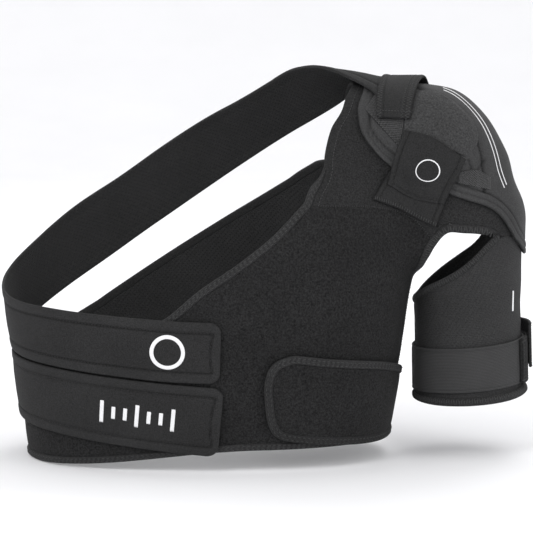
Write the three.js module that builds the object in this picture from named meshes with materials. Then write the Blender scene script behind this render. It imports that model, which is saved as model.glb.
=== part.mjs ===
import * as THREE from "three";

// Shoulder brace, millimetres, +Z up, front faces -Y, the braced arm is at +X.
// The origin of the finished part is the inside top of the shoulder.

// Driving sizes
const NEOPRENE = 3.0; // padded panel thickness
const WEB = 2.2; // strap thickness
const SHELL = 2.0; // shoulder cap thickness
const RIM = 2.8; // shoulder cap thickness at its border
const TAPE = 3.8; // binding thickness round a panel edge
const GAP = 0.4; // clearance between neighbours on gentle curves
const LAYER = 1.2; // clearance between layers over the shoulder
const BESIDE = 0.65; // clearance between a panel and the tape round it
const BIND_W = 7.5; // width of the panel binding
const HEM_W = 5.0; // width of the hem binding
const HEM_Z = 1.0; // height of the lower edge at the right front
const HEM_RISE = 18.0; // rise of the lower edge toward the braced side
const STRAP_W = 52.0; // width of both straps at the front
const STRAP_BACK_W = 60.0; // width of the upper strap behind the body
const STRAP_END_W = 58.0; // width of the lower strap at its front end
const SIDE_GAP = 32.0; // open gap between the panels under the arm
const SEAM_Z = 195.0; // height of the seam between sleeve and yoke
const SLEEVE_HEM_Z = 53.0; // height of the sleeve hem
const BAND_H = 39.0; // height of the arm band
const BAND_Z = 59.8; // lower edge of the arm band at its front
const BAND_TILT = 4.4; // rise of the arm band toward its outer side
const SEAT_X = 150; // where the shoulder seat lies across the body
const SEAT_Y = 10; // where the shoulder seat lies front to back

// Layers, as distances out from the wearer's form
const PANEL = [0, NEOPRENE];
const EDGE = [-0.4, TAPE];
const OVER = [TAPE + GAP + 0.2, TAPE + GAP + 0.2 + WEB];
const CAP_LO = NEOPRENE + LAYER;
const CAP_HI = CAP_LO + SHELL;
const CAP_RIM = CAP_LO + RIM;

// The form that the brace is shaped on
const TORSO = [
  { z: -60, wide: 145, deep: 94, back: 2 },
  { z: 0, wide: 153, deep: 100, back: 1 },
  { z: 60, wide: 161, deep: 108, back: 0 },
  { z: 130, wide: 171, deep: 116, back: 0 },
  { z: 190, wide: 178, deep: 112, back: 3 },
  { z: 240, wide: 166, deep: 97, back: 8 },
  { z: 285, wide: 130, deep: 70, back: 14 },
  { z: 315, wide: 80, deep: 42, back: 18 },
  { z: 335, wide: 40, deep: 22, back: 20 },
];
const SQUARENESS = 2.35;
const NECK = { at: [70, 18, 298], r: 36 };
const SHOULDER = { at: [197, 10, 264], r: 45 };
const UPPER_ARM = { at: [226, 8, 205], r: 47 };
const MID_ARM = { at: [228.5, 8, 120], r: 42.5 };
const ELBOW = { at: [231.5, 8, -20], r: 43.5 };
const ARM_FLAT = 0.87;
const BLEND = 40;

function columns(key) {
  const xs = TORSO.map((row) => row.z);
  const ys = TORSO.map((row) => row[key]);
  const n = xs.length;
  const m = new Array(n).fill(0);
  for (let i = 1; i < n - 1; i++) {
    const a = xs[i] - xs[i - 1];
    const b = xs[i + 1] - xs[i];
    m[i] = (((ys[i + 1] - ys[i]) / b) * a + ((ys[i] - ys[i - 1]) / a) * b) / (a + b);
  }
  m[0] = (ys[1] - ys[0]) / (xs[1] - xs[0]);
  m[n - 1] = (ys[n - 1] - ys[n - 2]) / (xs[n - 1] - xs[n - 2]);
  return (z) => {
    const x = Math.min(Math.max(z, xs[0]), xs[n - 1]);
    let i = 0;
    while (i < n - 2 && x > xs[i + 1]) i++;
    const h = xs[i + 1] - xs[i];
    const t = (x - xs[i]) / h;
    const t2 = t * t;
    const t3 = t2 * t;
    return (
      (2 * t3 - 3 * t2 + 1) * ys[i] +
      (t3 - 2 * t2 + t) * h * m[i] +
      (3 * t2 - 2 * t3) * ys[i + 1] +
      (t3 - t2) * h * m[i + 1]
    );
  };
}
const wideAt = columns("wide");
const deepAt = columns("deep");
const backAt = columns("back");

const clamp = (x, a, b) => Math.min(Math.max(x, a), b);
function smooth(a, b, x) {
  const t = clamp((x - a) / (b - a), 0, 1);
  return t * t * (3 - 2 * t);
}
function blend(a, b, k) {
  const h = clamp(0.5 + (0.5 * (b - a)) / k, 0, 1);
  return b + (a - b) * h - k * h * (1 - h);
}
function torso(x, y, z) {
  const yy = y - backAt(z);
  const qx = Math.pow(Math.abs(x) / wideAt(z), SQUARENESS);
  const qy = Math.pow(Math.abs(yy) / deepAt(z), SQUARENESS);
  const q = Math.pow(qx + qy, 1 / SQUARENESS) + 1e-9;
  return Math.hypot(x, yy) * (1 - 1 / q);
}
function limb(x, y, z, from, to) {
  const ax = to.at[0] - from.at[0];
  const ay = (to.at[1] - from.at[1]) * ARM_FLAT;
  const az = to.at[2] - from.at[2];
  const px = x - from.at[0];
  const py = (y - from.at[1]) * ARM_FLAT;
  const pz = z - from.at[2];
  const t = clamp((px * ax + py * ay + pz * az) / (ax * ax + ay * ay + az * az), 0, 1);
  const away = Math.hypot(px - t * ax, py - t * ay, pz - t * az);
  return away - (from.r + t * (to.r - from.r));
}
function arm(x, y, z) {
  return Math.min(limb(x, y, z, UPPER_ARM, MID_ARM), limb(x, y, z, MID_ARM, ELBOW));
}
function ball(x, y, z) {
  return Math.min(limb(x, y, z, SHOULDER, UPPER_ARM), limb(x, y, z, UPPER_ARM, MID_ARM));
}
function joinForms(x, y, z, away) {
  const trunk = blend(torso(x, y, z), limb(x, y, z, NECK, SHOULDER), BLEND);
  const fill = BLEND * (0.8 + 0.8 * (1 - smooth(195, 255, z)));
  return blend(trunk, ball(x, y, z) + away, fill);
}
const body = (x, y, z) => joinForms(x, y, z, 70 * (1 - smooth(135, 185, z)));
const shoulder = (x, y, z) => joinForms(x, y, z, 0);


const vec = (x, y, z) => new THREE.Vector3(x, y, z);
function slope(form, p) {
  const e = 0.4;
  const gx = form(p.x + e, p.y, p.z) - form(p.x - e, p.y, p.z);
  const gy = form(p.x, p.y + e, p.z) - form(p.x, p.y - e, p.z);
  const gz = form(p.x, p.y, p.z + e) - form(p.x, p.y, p.z - e);
  return vec(gx, gy, gz).divideScalar(2 * e);
}
function settle(form, p, lift) {
  const q = p.clone();
  for (let i = 0; i < 7; i++) {
    const g = slope(form, q);
    q.addScaledVector(g, -(form(q.x, q.y, q.z) - lift) / Math.max(g.lengthSq(), 0.2));
  }
  return q;
}
function cast(form, from, along, lift) {
  let far = 330;
  while (far > 0 && form(
    from.x + along.x * far, from.y + along.y * far, from.z + along.z * far) > lift) far -= 4;
  let lo = far;
  let hi = far + 4;
  for (let i = 0; i < 22; i++) {
    const mid = (lo + hi) / 2;
    const v = form(from.x + along.x * mid, from.y + along.y * mid, from.z + along.z * mid);
    if (v > lift) hi = mid;
    else lo = mid;
  }
  return from.clone().addScaledVector(along, lo);
}

// Charts: a place on the form from two numbers
// Round the body: s runs from the front middle toward the free side and on round the back.
const TURN_X = 100;
const TURN_R = 80;
const TURN = Math.PI * TURN_R;
const backS = (x) => -(x + 2 * TURN_X + TURN);
const armSide = (z) => TURN_X + 92 * smooth(120, 182, z);
function round(s, z, lift) {
  if (s >= -TURN_X) {
    const edge = armSide(z);
    if (s <= edge) return cast(body, vec(s, 0, z), vec(0, -1, 0), lift);
    const a = (s - edge) / TURN_R;
    return cast(body, vec(edge, 0, z), vec(Math.sin(a), -Math.cos(a), 0), lift);
  }
  if (s >= -TURN_X - TURN) {
    const a = (-TURN_X - s) / TURN_R;
    return cast(body, vec(-TURN_X, 0, z), vec(-Math.sin(a), -Math.cos(a), 0), lift);
  }
  const x = -s - 2 * TURN_X - TURN;
  const edge = armSide(z);
  if (x <= edge) return cast(body, vec(x, 0, z), vec(0, 1, 0), lift);
  const a = (x - edge) / TURN_R;
  return cast(body, vec(edge, 0, z), vec(Math.sin(a), Math.cos(a), 0), lift);
}
// Over the shoulder: degrees up from the arm side and degrees toward the back.
const PIVOT = vec(188, 8, 160);
const rad = Math.PI / 180;
function over(a, b, lift) {
  const c = Math.cos(b * rad);
  const way = vec(c * Math.cos(a * rad), Math.sin(b * rad), c * Math.sin(a * rad));
  return cast(shoulder, PIVOT, way, lift);
}
function overOf(p) {
  const d = p.clone().sub(PIVOT);
  const a = Math.atan2(d.z, d.x) / rad;
  return [a < -90 ? a + 360 : a, Math.atan2(d.y, Math.hypot(d.x, d.z)) / rad];
}
// Round the arm: degrees from the outer side toward the back, and the height.
function aroundArm(deg, z, lift) {
  const axis = MID_ARM.at[0];
  return cast(arm, vec(axis, 8, z), vec(Math.cos(deg * rad), Math.sin(deg * rad), 0), lift);
}

// A smooth curve through pairs of numbers
function path(pairs) {
  const curve = new THREE.CatmullRomCurve3(pairs.map(([a, b]) => vec(a, b, 0)), false, "centripetal");
  return (t) => {
    const p = curve.getPoint(clamp(t, 0, 1));
    return [p.x, p.y];
  };
}
// A four-sided patch between its edges
function patch(low, high, first, last) {
  return (u, v) => {
    const out = [0, 0];
    for (let k = 0; k < 2; k++) {
      const ruled = (1 - v) * low(u)[k] + v * high(u)[k] + (1 - u) * first(v)[k] + u * last(v)[k];
      const corners =
        (1 - u) * (1 - v) * low(0)[k] +
        u * (1 - v) * low(1)[k] +
        (1 - u) * v * high(0)[k] +
        u * v * high(1)[k];
      out[k] = ruled - corners;
    }
    return out;
  };
}
const asFn = (x) => (typeof x === "function" ? x : () => x);
// A grid place lifted straight off the form
function lifted(form, chart) {
  const seen = new Map();
  return (u, v, lift) => {
    const key = u * 1e4 + v;
    if (!seen.has(key)) seen.set(key, chart(u, v));
    return settle(form, seen.get(key), lift);
  };
}
// Table rows read as smooth columns, from first row to last
function track(rows, keys) {
  const curves = keys.map((key) => path(rows.map((row, i) => [i, row[key]])));
  return (t) => {
    const out = {};
    keys.forEach((key, k) => (out[key] = curves[k](t)[1]));
    return out;
  };
}

// A closed solid between two lifts of a grid
function slab(place, nu, nv, low, high, loop = false) {
  const lo = asFn(low);
  const hi = asFn(high);
  const cols = loop ? nu : nu + 1;
  const rows = nv + 1;
  const pos = [];
  for (const level of [lo, hi]) {
    for (let j = 0; j < rows; j++) {
      for (let i = 0; i < cols; i++) {
        const u = i / nu;
        const v = j / nv;
        const p = place(u, v, level(u, v));
        pos.push(p.x, p.y, p.z);
      }
    }
  }
  const id = (k, i, j) => k * cols * rows + j * cols + (loop ? i % cols : i);
  const tri = [];
  const quad = (a, b, c, d) => tri.push(a, b, c, a, c, d);
  for (let j = 0; j < nv; j++) {
    for (let i = 0; i < nu; i++) {
      quad(id(1, i, j), id(1, i + 1, j), id(1, i + 1, j + 1), id(1, i, j + 1));
      quad(id(0, i, j), id(0, i, j + 1), id(0, i + 1, j + 1), id(0, i + 1, j));
    }
  }
  for (let i = 0; i < nu; i++) {
    quad(id(0, i, 0), id(0, i + 1, 0), id(1, i + 1, 0), id(1, i, 0));
    quad(id(0, i + 1, nv), id(0, i, nv), id(1, i, nv), id(1, i + 1, nv));
  }
  if (!loop) {
    for (let j = 0; j < nv; j++) {
      quad(id(0, 0, j + 1), id(0, 0, j), id(1, 0, j), id(1, 0, j + 1));
      quad(id(0, nu, j), id(0, nu, j + 1), id(1, nu, j + 1), id(1, nu, j));
    }
  }
  let volume = 0;
  const at = (k) => vec(pos[3 * k], pos[3 * k + 1], pos[3 * k + 2]);
  for (let k = 0; k < tri.length; k += 3) {
    volume += at(tri[k]).dot(at(tri[k + 1]).cross(at(tri[k + 2])));
  }
  if (volume < 0) {
    for (let k = 0; k < tri.length; k += 3) [tri[k], tri[k + 1]] = [tri[k + 1], tri[k]];
  }
  const g = new THREE.BufferGeometry();
  g.setAttribute("position", new THREE.Float32BufferAttribute(pos, 3));
  g.setIndex(tri);
  return g;
}
// A band laid along a line on the form, from inner to outer distance beside it
function ribbon(form, line, inner, outer, nu, nv, low, high, loop = false) {
  const a = asFn(inner);
  const b = asFn(outer);
  const frame = new Map();
  const frameAt = (u) => {
    if (!frame.has(u)) {
      const e = 0.004;
      const p = line(u);
      const ahead = loop ? line((u + e) % 1) : line(Math.min(u + e, 1));
      const behind = loop ? line((u - e + 1) % 1) : line(Math.max(u - e, 0));
      const along = ahead.clone().sub(behind).normalize();
      const out = slope(form, p).normalize();
      frame.set(u, { p, side: along.cross(out).normalize() });
    }
    return frame.get(u);
  };
  const place = (u, v, lift) => {
    const { p, side } = frameAt(u);
    const w = a(u) + (b(u) - a(u)) * v;
    return settle(form, p.clone().addScaledVector(side, w), lift);
  };
  return slab(place, nu, nv, low, high, loop);
}

// Materials
function cloth(colour, roughness) {
  return new THREE.MeshStandardMaterial({ color: colour, roughness, metalness: 0 });
}
const LOOP_CLOTH = cloth(0x1c1c1d, 0.96);
const JERSEY = cloth(0x242526, 0.9);
const BINDING = cloth(0x2a2b2c, 0.88);
const STRAP_CLOTH = cloth(0x262728, 0.88);
const SHELL_CLOTH = cloth(0x2b2c2d, 0.75);
const MESH_CLOTH = cloth(0x3a3b3c, 0.8);
const ELASTIC = cloth(0x37383a, 0.85);

const seat = cast(shoulder, vec(SEAT_X, SEAT_Y, 200), vec(0, 0, 1), 0);
const group = new THREE.Group();
group.name = "shoulder_brace";
function add(name, geometry, material) {
  geometry.translate(-seat.x, -seat.y, -seat.z);
  const mesh = new THREE.Mesh(geometry, material);
  mesh.name = name;
  group.add(mesh);
}

// Lower edge of the panels
const WRAP = 2 * TURN_X + TURN;
const mirrorS = (s) => -WRAP - s;
function hemZ(s) {
  const x = s > -WRAP / 2 ? s : mirrorS(s);
  return HEM_Z + HEM_W + GAP + HEM_RISE * smooth(-150, 70, x);
}
const JOIN_S = -TURN_X - TURN * 0.72;
const armEdgeS = (z) => armSide(z) + (Math.PI / 2) * TURN_R - SIDE_GAP / 2;

// Upper edges of the panels from the side join to the yoke seam
const FRONT_TOP = [
  [JOIN_S + GAP, 88],
  [-225, 90],
  [-175, 93],
  [-125, 98],
  [-80, 107],
  [-35, 123],
  [0, 151],
  [30, 171],
  [60, 194],
  [88, 225],
];
const BACK_TOP = [
  [mirrorS(JOIN_S) + GAP, 88],
  [-148, 92],
  [-119, 104],
  [-85, 126],
  [-56, 145],
  [-25, 165],
  [2, 182],
  [26, 197],
  [49, 211],
  [76, 228],
];
// Seam under the yoke, then the armhole side down to the hem
const FRONT_SEAM = [
  [88, 225],
  [140, 222],
  [175, 213],
  [197, 194.5],
];
const BACK_SEAM = [
  [76, 228],
  [125, 226],
  [170, 215],
  [197, 194.5],
];
const ARM_SIDE = [
  [armEdgeS(0), hemZ(150)],
  [armEdgeS(60), 60],
  [armEdgeS(100) - 2, 100],
  [armEdgeS(128) - 16, 128],
  [armEdgeS(148) - 45, 148],
  [180, 166],
  [189, 181],
  [197, 194.5],
];
const sample = (curve, from, to, count) =>
  Array.from({ length: count + 1 }, (_, i) => curve(from + ((to - from) * i) / count));
const joined = (a, b, share) => (t) => (t <= share ? a(t / share) : b((t - share) / (1 - share)));
function panelChart(top, seam) {
  const share = 0.75;
  const edge = joined(path(top), path(seam), share);
  const reach = ARM_SIDE[0][0] - seam[seam.length - 1][0];
  const low = (u) => {
    const s = edge(u)[0] + reach * smooth(share, 1, u);
    return [s, hemZ(s)];
  };
  return patch(low, edge, (v) => [top[0][0], low(0)[1] + (top[0][1] - low(0)[1]) * v], path(ARM_SIDE));
}
const onFront = (s, z) => round(s, z, 0);
const onBack = (s, z) => round(mirrorS(s), z, 0);
const frontChart = panelChart(FRONT_TOP, FRONT_SEAM);
const backChart = panelChart(BACK_TOP, BACK_SEAM);
add(
  "front_panel",
  slab(lifted(body, (u, v) => onFront(...frontChart(u, v))), 32, 10, PANEL[0], PANEL[1]),
  LOOP_CLOTH,
);
add(
  "back_panel",
  slab(lifted(body, (u, v) => onBack(...backChart(u, v))), 32, 10, PANEL[0], PANEL[1]),
  LOOP_CLOTH,
);

// Yoke over the shoulder, from the front seam to the back seam
const ARMHOLE = [
  [206, 201.5],
  [219, 206.5],
  [232, 205],
];
const SEAM_TURN = 63;
const YOKE_GAP = 0.9;
const SLEEVE_GAP = 0.5;
const YOKE_COLS = 16;
const YOKE_ROWS = 16;
const sleeveEnd = (sign) => overOf(aroundArm(sign * SEAM_TURN, SEAM_Z + SLEEVE_GAP, 0));
function yokeEdge(seam, place, sign) {
  const above = ([s, z]) => overOf(place(s, z + YOKE_GAP));
  const corner = seam[seam.length - 1];
  const armhole = [...[corner, ...ARMHOLE].map(above), sleeveEnd(sign)];
  return joined(path(sample(path(seam), 0, 1, 8).map(above)), path(armhole), 0.5);
}
const yokeFront = yokeEdge(FRONT_SEAM, onFront, -1);
const yokeBack = yokeEdge(BACK_SEAM, onBack, 1);
// Neck edge of the yoke, front seam up over the ridge and down the back
const YOKE_NECK = [
  { x: 98, y: -70, z: 247 },
  { x: 101, y: -54, z: 268 },
  { x: 107.5, y: -40, z: 289 },
  { x: 118, y: -26, z: 308 },
  { x: 126, y: 1, z: 324 },
  { x: 122, y: 30, z: 315 },
  { x: 119, y: 50, z: 296 },
  { x: 117, y: 66, z: 273 },
  { x: 110, y: 78, z: 253 },
  { x: 94, y: 88, z: 240 },
];
const settled = (row) => settle(body, vec(row.x, row.y, row.z), 0);
const yokeNeck = path([yokeFront(0), ...YOKE_NECK.map((row) => overOf(settled(row))), yokeBack(0)]);
const yokeChart = patch(yokeFront, yokeBack, yokeNeck, (v) =>
  overOf(aroundArm((2 * v - 1) * SEAM_TURN, SEAM_Z + SLEEVE_GAP, 0)),
);
add(
  "shoulder_yoke",
  slab(lifted(shoulder, (u, v) => over(...yokeChart(u, v), 0)), YOKE_COLS, YOKE_ROWS, PANEL[0], PANEL[1]),
  JERSEY,
);

// Binding tape beside the panel edges
function line3(points) {
  const curve = new THREE.CatmullRomCurve3(points, false, "centripetal");
  return (t) => settle(body, curve.getPoint(clamp(t, 0, 1)), 0);
}
const START = 0.006;
function neckLine(top, place, rows) {
  const points = sample(path(top), 0, 1, 24);
  points[0] = path(top)(START);
  return [...points.map(([s, z]) => place(s, z)), ...rows.map((k) => over(...yokeNeck(k / YOKE_ROWS), 0))];
}
const frontNeck = neckLine(FRONT_TOP, onFront, [1, 2]);
const backNeck = neckLine(BACK_TOP, onBack, [15, 14, 13]);
const NEAR = BESIDE;
const NECK_NEAR = BESIDE + 0.3;
add(
  "neck_binding_front",
  ribbon(body, line3(frontNeck), -NECK_NEAR - BIND_W, -NECK_NEAR, frontNeck.length - 1, 1, EDGE[0], EDGE[1]),
  BINDING,
);
add(
  "neck_binding_back",
  ribbon(body, line3(backNeck), NECK_NEAR, NECK_NEAR + BIND_W, backNeck.length - 1, 1, EDGE[0], EDGE[1]),
  BINDING,
);
const armPoints = (place, edge) => [
  ...sample(path(ARM_SIDE), 0, 1, 10).map(([s, z]) => place(s, z)),
  ...[1, 2, 3, 4, 5, 6, 7].map((k) => over(...edge(0.5 + k / YOKE_COLS), 0)),
];
const frontArm = armPoints(onFront, yokeFront);
const backArm = armPoints(onBack, yokeBack);
const ARM_BIND = BIND_W - 1;
const ARM_NEAR = NEAR + 0.1;
add(
  "armhole_binding_front",
  ribbon(body, line3(frontArm), ARM_NEAR, ARM_NEAR + ARM_BIND, frontArm.length - 1, 1, EDGE[0], EDGE[1]),
  BINDING,
);
add(
  "armhole_binding_back",
  ribbon(body, line3(backArm), -ARM_NEAR - ARM_BIND, -ARM_NEAR, backArm.length - 1, 1, EDGE[0], EDGE[1]),
  BINDING,
);
const HEM_FROM = armEdgeS(0);
const hemChart = (u, v) => {
  const s = HEM_FROM + (mirrorS(HEM_FROM) - HEM_FROM) * u;
  return onFront(s, hemZ(s) - GAP - HEM_W * (1 - v));
};
add("hem_binding", slab(lifted(body, hemChart), 60, 1, EDGE[0], EDGE[1]), BINDING);

// Side tab, from the back panel under the arm onto the front panel
const TAB_END = TURN_X + TURN * 0.8;
const TAB_TOP = [
  [72, 96],
  [105, 89],
  [150, 82],
  [210, 71],
  [260, 68],
  [TAB_END, 68],
];
const TAB_LOW = [
  [72, 33],
  [105, 28],
  [150, 25],
  [210, 25],
  [260, 25],
  [TAB_END, 25],
];
const TAB_FRONT = [
  [72, 33],
  [61, 37],
  [57, 48],
  [55, 65],
  [55, 80],
  [60, 92],
  [72, 96],
];
const tabChart = patch(path(TAB_LOW), path(TAB_TOP), path(TAB_FRONT), (v) => [TAB_END, 25 + 43 * v]);
add(
  "side_tab",
  slab(lifted(body, (u, v) => onFront(...tabChart(u, v))), 20, 8, OVER[0], OVER[0] + NEOPRENE),
  LOOP_CLOTH,
);
const tabEdge = [
  ...sample(path(TAB_TOP), 1, 0, 20),
  ...sample(path(TAB_FRONT), 0.875, 0.125, 6),
  ...sample(path(TAB_LOW), 0, 1, 20),
].map(([s, z]) => onFront(s, z));
add(
  "side_tab_binding",
  ribbon(body, line3(tabEdge), NEAR, NEAR + ARM_BIND, tabEdge.length - 1, 1,
    OVER[0] + 0.2, OVER[0] + TAPE),
  BINDING,
);

// Sleeve round the upper arm, with its slanting opening toward the armpit
const SLEEVE_TOP = [
  { deg: 0, z: SEAM_Z },
  { deg: SEAM_TURN, z: SEAM_Z },
  { deg: 75, z: 176 },
  { deg: 100, z: 159 },
  { deg: 125, z: 144 },
  { deg: 150, z: 133 },
  { deg: 180, z: 131.5 },
  { deg: 205, z: 138.5 },
  { deg: 225, z: 146 },
  { deg: 245, z: 153.5 },
  { deg: 265, z: 166 },
  { deg: 282, z: 183 },
  { deg: 360 - SEAM_TURN, z: SEAM_Z },
  { deg: 360, z: SEAM_Z },
];
const sleeveTop = (deg) => {
  const d = ((deg % 360) + 360) % 360;
  let i = 0;
  while (i < SLEEVE_TOP.length - 2 && d > SLEEVE_TOP[i + 1].deg) i++;
  const a = SLEEVE_TOP[i];
  const b = SLEEVE_TOP[i + 1];
  const t = (d - a.deg) / (b.deg - a.deg);
  return a.z + (b.z - a.z) * t;
};
const sleeveHem = (deg) => SLEEVE_HEM_Z + 3.5 * Math.cos(deg * rad) + Math.cos(2 * deg * rad);
const sleeveChart = (u, v) => {
  const deg = 360 * u;
  const z0 = sleeveHem(deg);
  return aroundArm(deg, z0 + (sleeveTop(deg) - z0) * v, 0);
};
add("sleeve", slab(lifted(arm, sleeveChart), 40, 6, PANEL[0], PANEL[1], true), JERSEY);
const SLEEVE_BIND = 5;
add(
  "sleeve_hem_binding",
  slab(
    lifted(arm, (u, v) => {
      const deg = 360 * u;
      return aroundArm(deg, sleeveHem(deg) - GAP - SLEEVE_BIND * (1 - v), 0);
    }),
    40, 1, EDGE[0], EDGE[1], true,
  ),
  BINDING,
);
const OPEN_FROM = SEAM_TURN + 9;
add(
  "sleeve_opening_binding",
  slab(
    lifted(arm, (u, v) => {
      const deg = OPEN_FROM + (360 - 2 * OPEN_FROM) * u;
      return aroundArm(deg, sleeveTop(deg) + 2 * GAP + SLEEVE_BIND * v, 0);
    }),
    24, 1, EDGE[0], EDGE[1],
  ),
  BINDING,
);

// Elastic band round the sleeve with its loop and hook ends
const BAND_LO = NEOPRENE + 0.5;
const BAND = [BAND_LO, BAND_LO + WEB];
const bandChart = (fromDeg, toDeg, fromZ, toZ) => (u, v) => {
  const deg = fromDeg + (toDeg - fromDeg) * u;
  return aroundArm(deg, fromZ + (toZ - fromZ) * v + BAND_TILT * Math.cos(deg * rad), 0);
};
add(
  "arm_band",
  slab(lifted(arm, bandChart(0, 360, BAND_Z, BAND_Z + BAND_H)), 40, 1, BAND[0], BAND[1], true),
  ELASTIC,
);
add(
  "arm_band_loop",
  slab(lifted(arm, bandChart(-24, 60, BAND_Z - 1, BAND_Z + BAND_H + 1)), 14, 2,
    BAND[1] + GAP, BAND[1] + GAP + 3),
  LOOP_CLOTH,
);
add(
  "arm_band_tab",
  slab(lifted(arm, bandChart(-14, 44, BAND_Z + 11, BAND_Z + BAND_H + 12)), 12, 2,
    BAND[1] + 2 * GAP + 3, BAND[1] + 2 * GAP + 6),
  STRAP_CLOTH,
);

// Shoulder cap over the yoke, front edge, rim and the same behind
const CAP_FRONT = [
  [107, -27],
  [91, -33.5],
  [76, -37.5],
  [62, -37],
  [48, -33],
  [34, -28.5],
  [24, -23.5],
];
const CAP_NECK = [
  [107, -27],
  [112, -23.5],
  [114.5, -19],
  [113, -14],
  [109, -7],
  [108, 0],
];
const CAP_RIM_LINE = [
  [24, -23.5],
  [16, -15],
  [11.5, -7],
  [10, 0],
];
const mirrored = (rows) => [...rows, ...rows.slice(0, -1).reverse().map(([a, b]) => [a, -b])];
const capChart = patch(
  path(CAP_FRONT),
  path(CAP_FRONT.map(([a, b]) => [a, -b])),
  path(mirrored(CAP_NECK)),
  path(mirrored(CAP_RIM_LINE)),
);
const CAP_BORDER = 0.09;
const capWarp = (t, n) => {
  const k = t * n;
  if (k <= 1) return k * (CAP_BORDER - 0.02);
  if (k <= 2) return CAP_BORDER - 0.02 + (k - 1) * 0.04;
  if (k >= n - 1) return 1 - (n - k) * (CAP_BORDER - 0.02);
  if (k >= n - 2) return 1 - (CAP_BORDER - 0.02) - (n - 1 - k) * 0.04;
  return CAP_BORDER + 0.02 + ((k - 2) / (n - 4)) * (1 - 2 * (CAP_BORDER + 0.02));
};
const CAP_N = 16;
const nearEdge = (t) => Math.min(t, 1 - t) * CAP_N < 1.5;
add(
  "shoulder_cap",
  slab(
    lifted(shoulder, (u, v) => over(...capChart(capWarp(u, CAP_N), capWarp(v, CAP_N)), 0)),
    CAP_N, CAP_N, CAP_LO,
    (u, v) => (nearEdge(u) || nearEdge(v) ? CAP_RIM : CAP_HI),
  ),
  SHELL_CLOTH,
);
// Small pieces in front, by the outline seen from the front
const frontPlace = (x, z) => cast(shoulder, vec(x, 0, z), vec(0, -1, 0), 0);
const between = (p, q) => (t) => [p[0] + (q[0] - p[0]) * t, p[1] + (q[1] - p[1]) * t];
function facing(name, low, high, nu, nv, under, upper, material) {
  const a = path(low);
  const b = path(high);
  const chart = patch(a, b, between(a(0), b(0)), between(a(1), b(1)));
  add(name, slab(lifted(shoulder, (u, v) => frontPlace(...chart(u, v))), nu, nv, under, upper), material);
}
const ON_CAP = CAP_HI + 0.9;
const MESH_T = 0.8;
facing("cap_mesh_inner", [[146, 297], [154, 288], [167, 275]], [[152, 300], [162, 294], [170, 287]],
  4, 2, ON_CAP, ON_CAP + MESH_T, MESH_CLOTH);
facing("cap_mesh_outer", [[219, 250], [226, 244], [233, 240]], [[217, 259], [226, 260], [235, 258]],
  3, 3, ON_CAP, ON_CAP + MESH_T, MESH_CLOTH);
const TONGUE_T = WEB - 0.4;
facing("cap_tongue", [[172, 280], [192, 275], [212, 264]], [[174, 306], [190, 309], [205, 306]],
  6, 5, ON_CAP, ON_CAP + TONGUE_T, SHELL_CLOTH);
const ON_TONGUE = ON_CAP + TONGUE_T + GAP;
const PATCH_LO = CAP_LO + GAP;
facing("tab_patch", [[139, 227], [167, 217], [197, 205]], [[149, 246], [176, 234], [205, 229]],
  6, 4, PATCH_LO, PATCH_LO + WEB, STRAP_CLOTH);
const tabRise = (u, v) => PATCH_LO + WEB + 0.8 + (ON_TONGUE - PATCH_LO - WEB - 0.4) * smooth(0, 0.55, v);
facing("front_tab", [[147.5, 242], [175, 230.5], [205, 225.5]], [[172, 283], [195, 277], [217, 262]],
  6, 8, tabRise, (u, v) => tabRise(u, v) + WEB, STRAP_CLOTH);

// Straps, as bands along a line round the body
const strapKeys = ["x", "y", "z", "wide", "lift"];
const UPPER_STRAP = [
  { x: 13, y: -121, z: 105.5, wide: STRAP_W - 3, lift: OVER[0] },
  { x: -30, y: -120, z: 108, wide: STRAP_W - 2, lift: OVER[0] },
  { x: -75, y: -113, z: 112, wide: STRAP_W - 1, lift: OVER[0] },
  { x: -130, y: -90, z: 117, wide: STRAP_W, lift: OVER[0] },
  { x: -166, y: -45, z: 121, wide: STRAP_W + 2, lift: OVER[0] },
  { x: -176, y: 0, z: 128, wide: STRAP_W + 5, lift: OVER[0] },
  { x: -168, y: 45, z: 141, wide: STRAP_BACK_W - 3, lift: OVER[0] },
  { x: -146, y: 80, z: 160, wide: STRAP_BACK_W - 4, lift: OVER[0] },
  { x: -110, y: 102, z: 185, wide: STRAP_BACK_W - 3, lift: OVER[0] },
  { x: -68, y: 109, z: 211, wide: STRAP_BACK_W - 2, lift: OVER[0] },
  { x: -30, y: 106, z: 236, wide: STRAP_BACK_W - 2, lift: OVER[0] },
  { x: 15, y: 94, z: 266, wide: STRAP_BACK_W - 2, lift: OVER[0] },
  { x: 60, y: 74, z: 297, wide: STRAP_BACK_W - 3, lift: OVER[0] },
  { x: 97, y: 48, z: 319, wide: STRAP_BACK_W - 7, lift: OVER[0] + 2.5 },
  { x: 126, y: 22, z: 328, wide: STRAP_BACK_W - 14, lift: ON_TONGUE },
  { x: 150, y: 0, z: 326, wide: STRAP_BACK_W - 20, lift: ON_TONGUE },
  { x: 162, y: -14, z: 320, wide: STRAP_BACK_W - 23, lift: ON_TONGUE },
];
const LOWER_STRAP = [
  { x: 13, y: -112, z: 45, wide: STRAP_END_W, lift: OVER[0] },
  { x: -30, y: -112, z: 48.5, wide: STRAP_END_W, lift: OVER[0] },
  { x: -75, y: -106, z: 53, wide: STRAP_END_W - 2, lift: OVER[0] },
  { x: -125, y: -84, z: 58.5, wide: STRAP_END_W - 4, lift: OVER[0] },
  { x: -158, y: -42, z: 63, wide: STRAP_END_W - 5, lift: OVER[0] },
  { x: -166, y: 0, z: 66, wide: STRAP_END_W - 6, lift: OVER[0] },
  { x: -155, y: 45, z: 66, wide: STRAP_END_W - 8, lift: OVER[0] },
  { x: -125, y: 84, z: 63, wide: STRAP_END_W - 9, lift: OVER[0] },
  { x: -90, y: 101, z: 60, wide: STRAP_END_W - 10, lift: OVER[0] },
];
const END_ROUND = 10;
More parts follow.
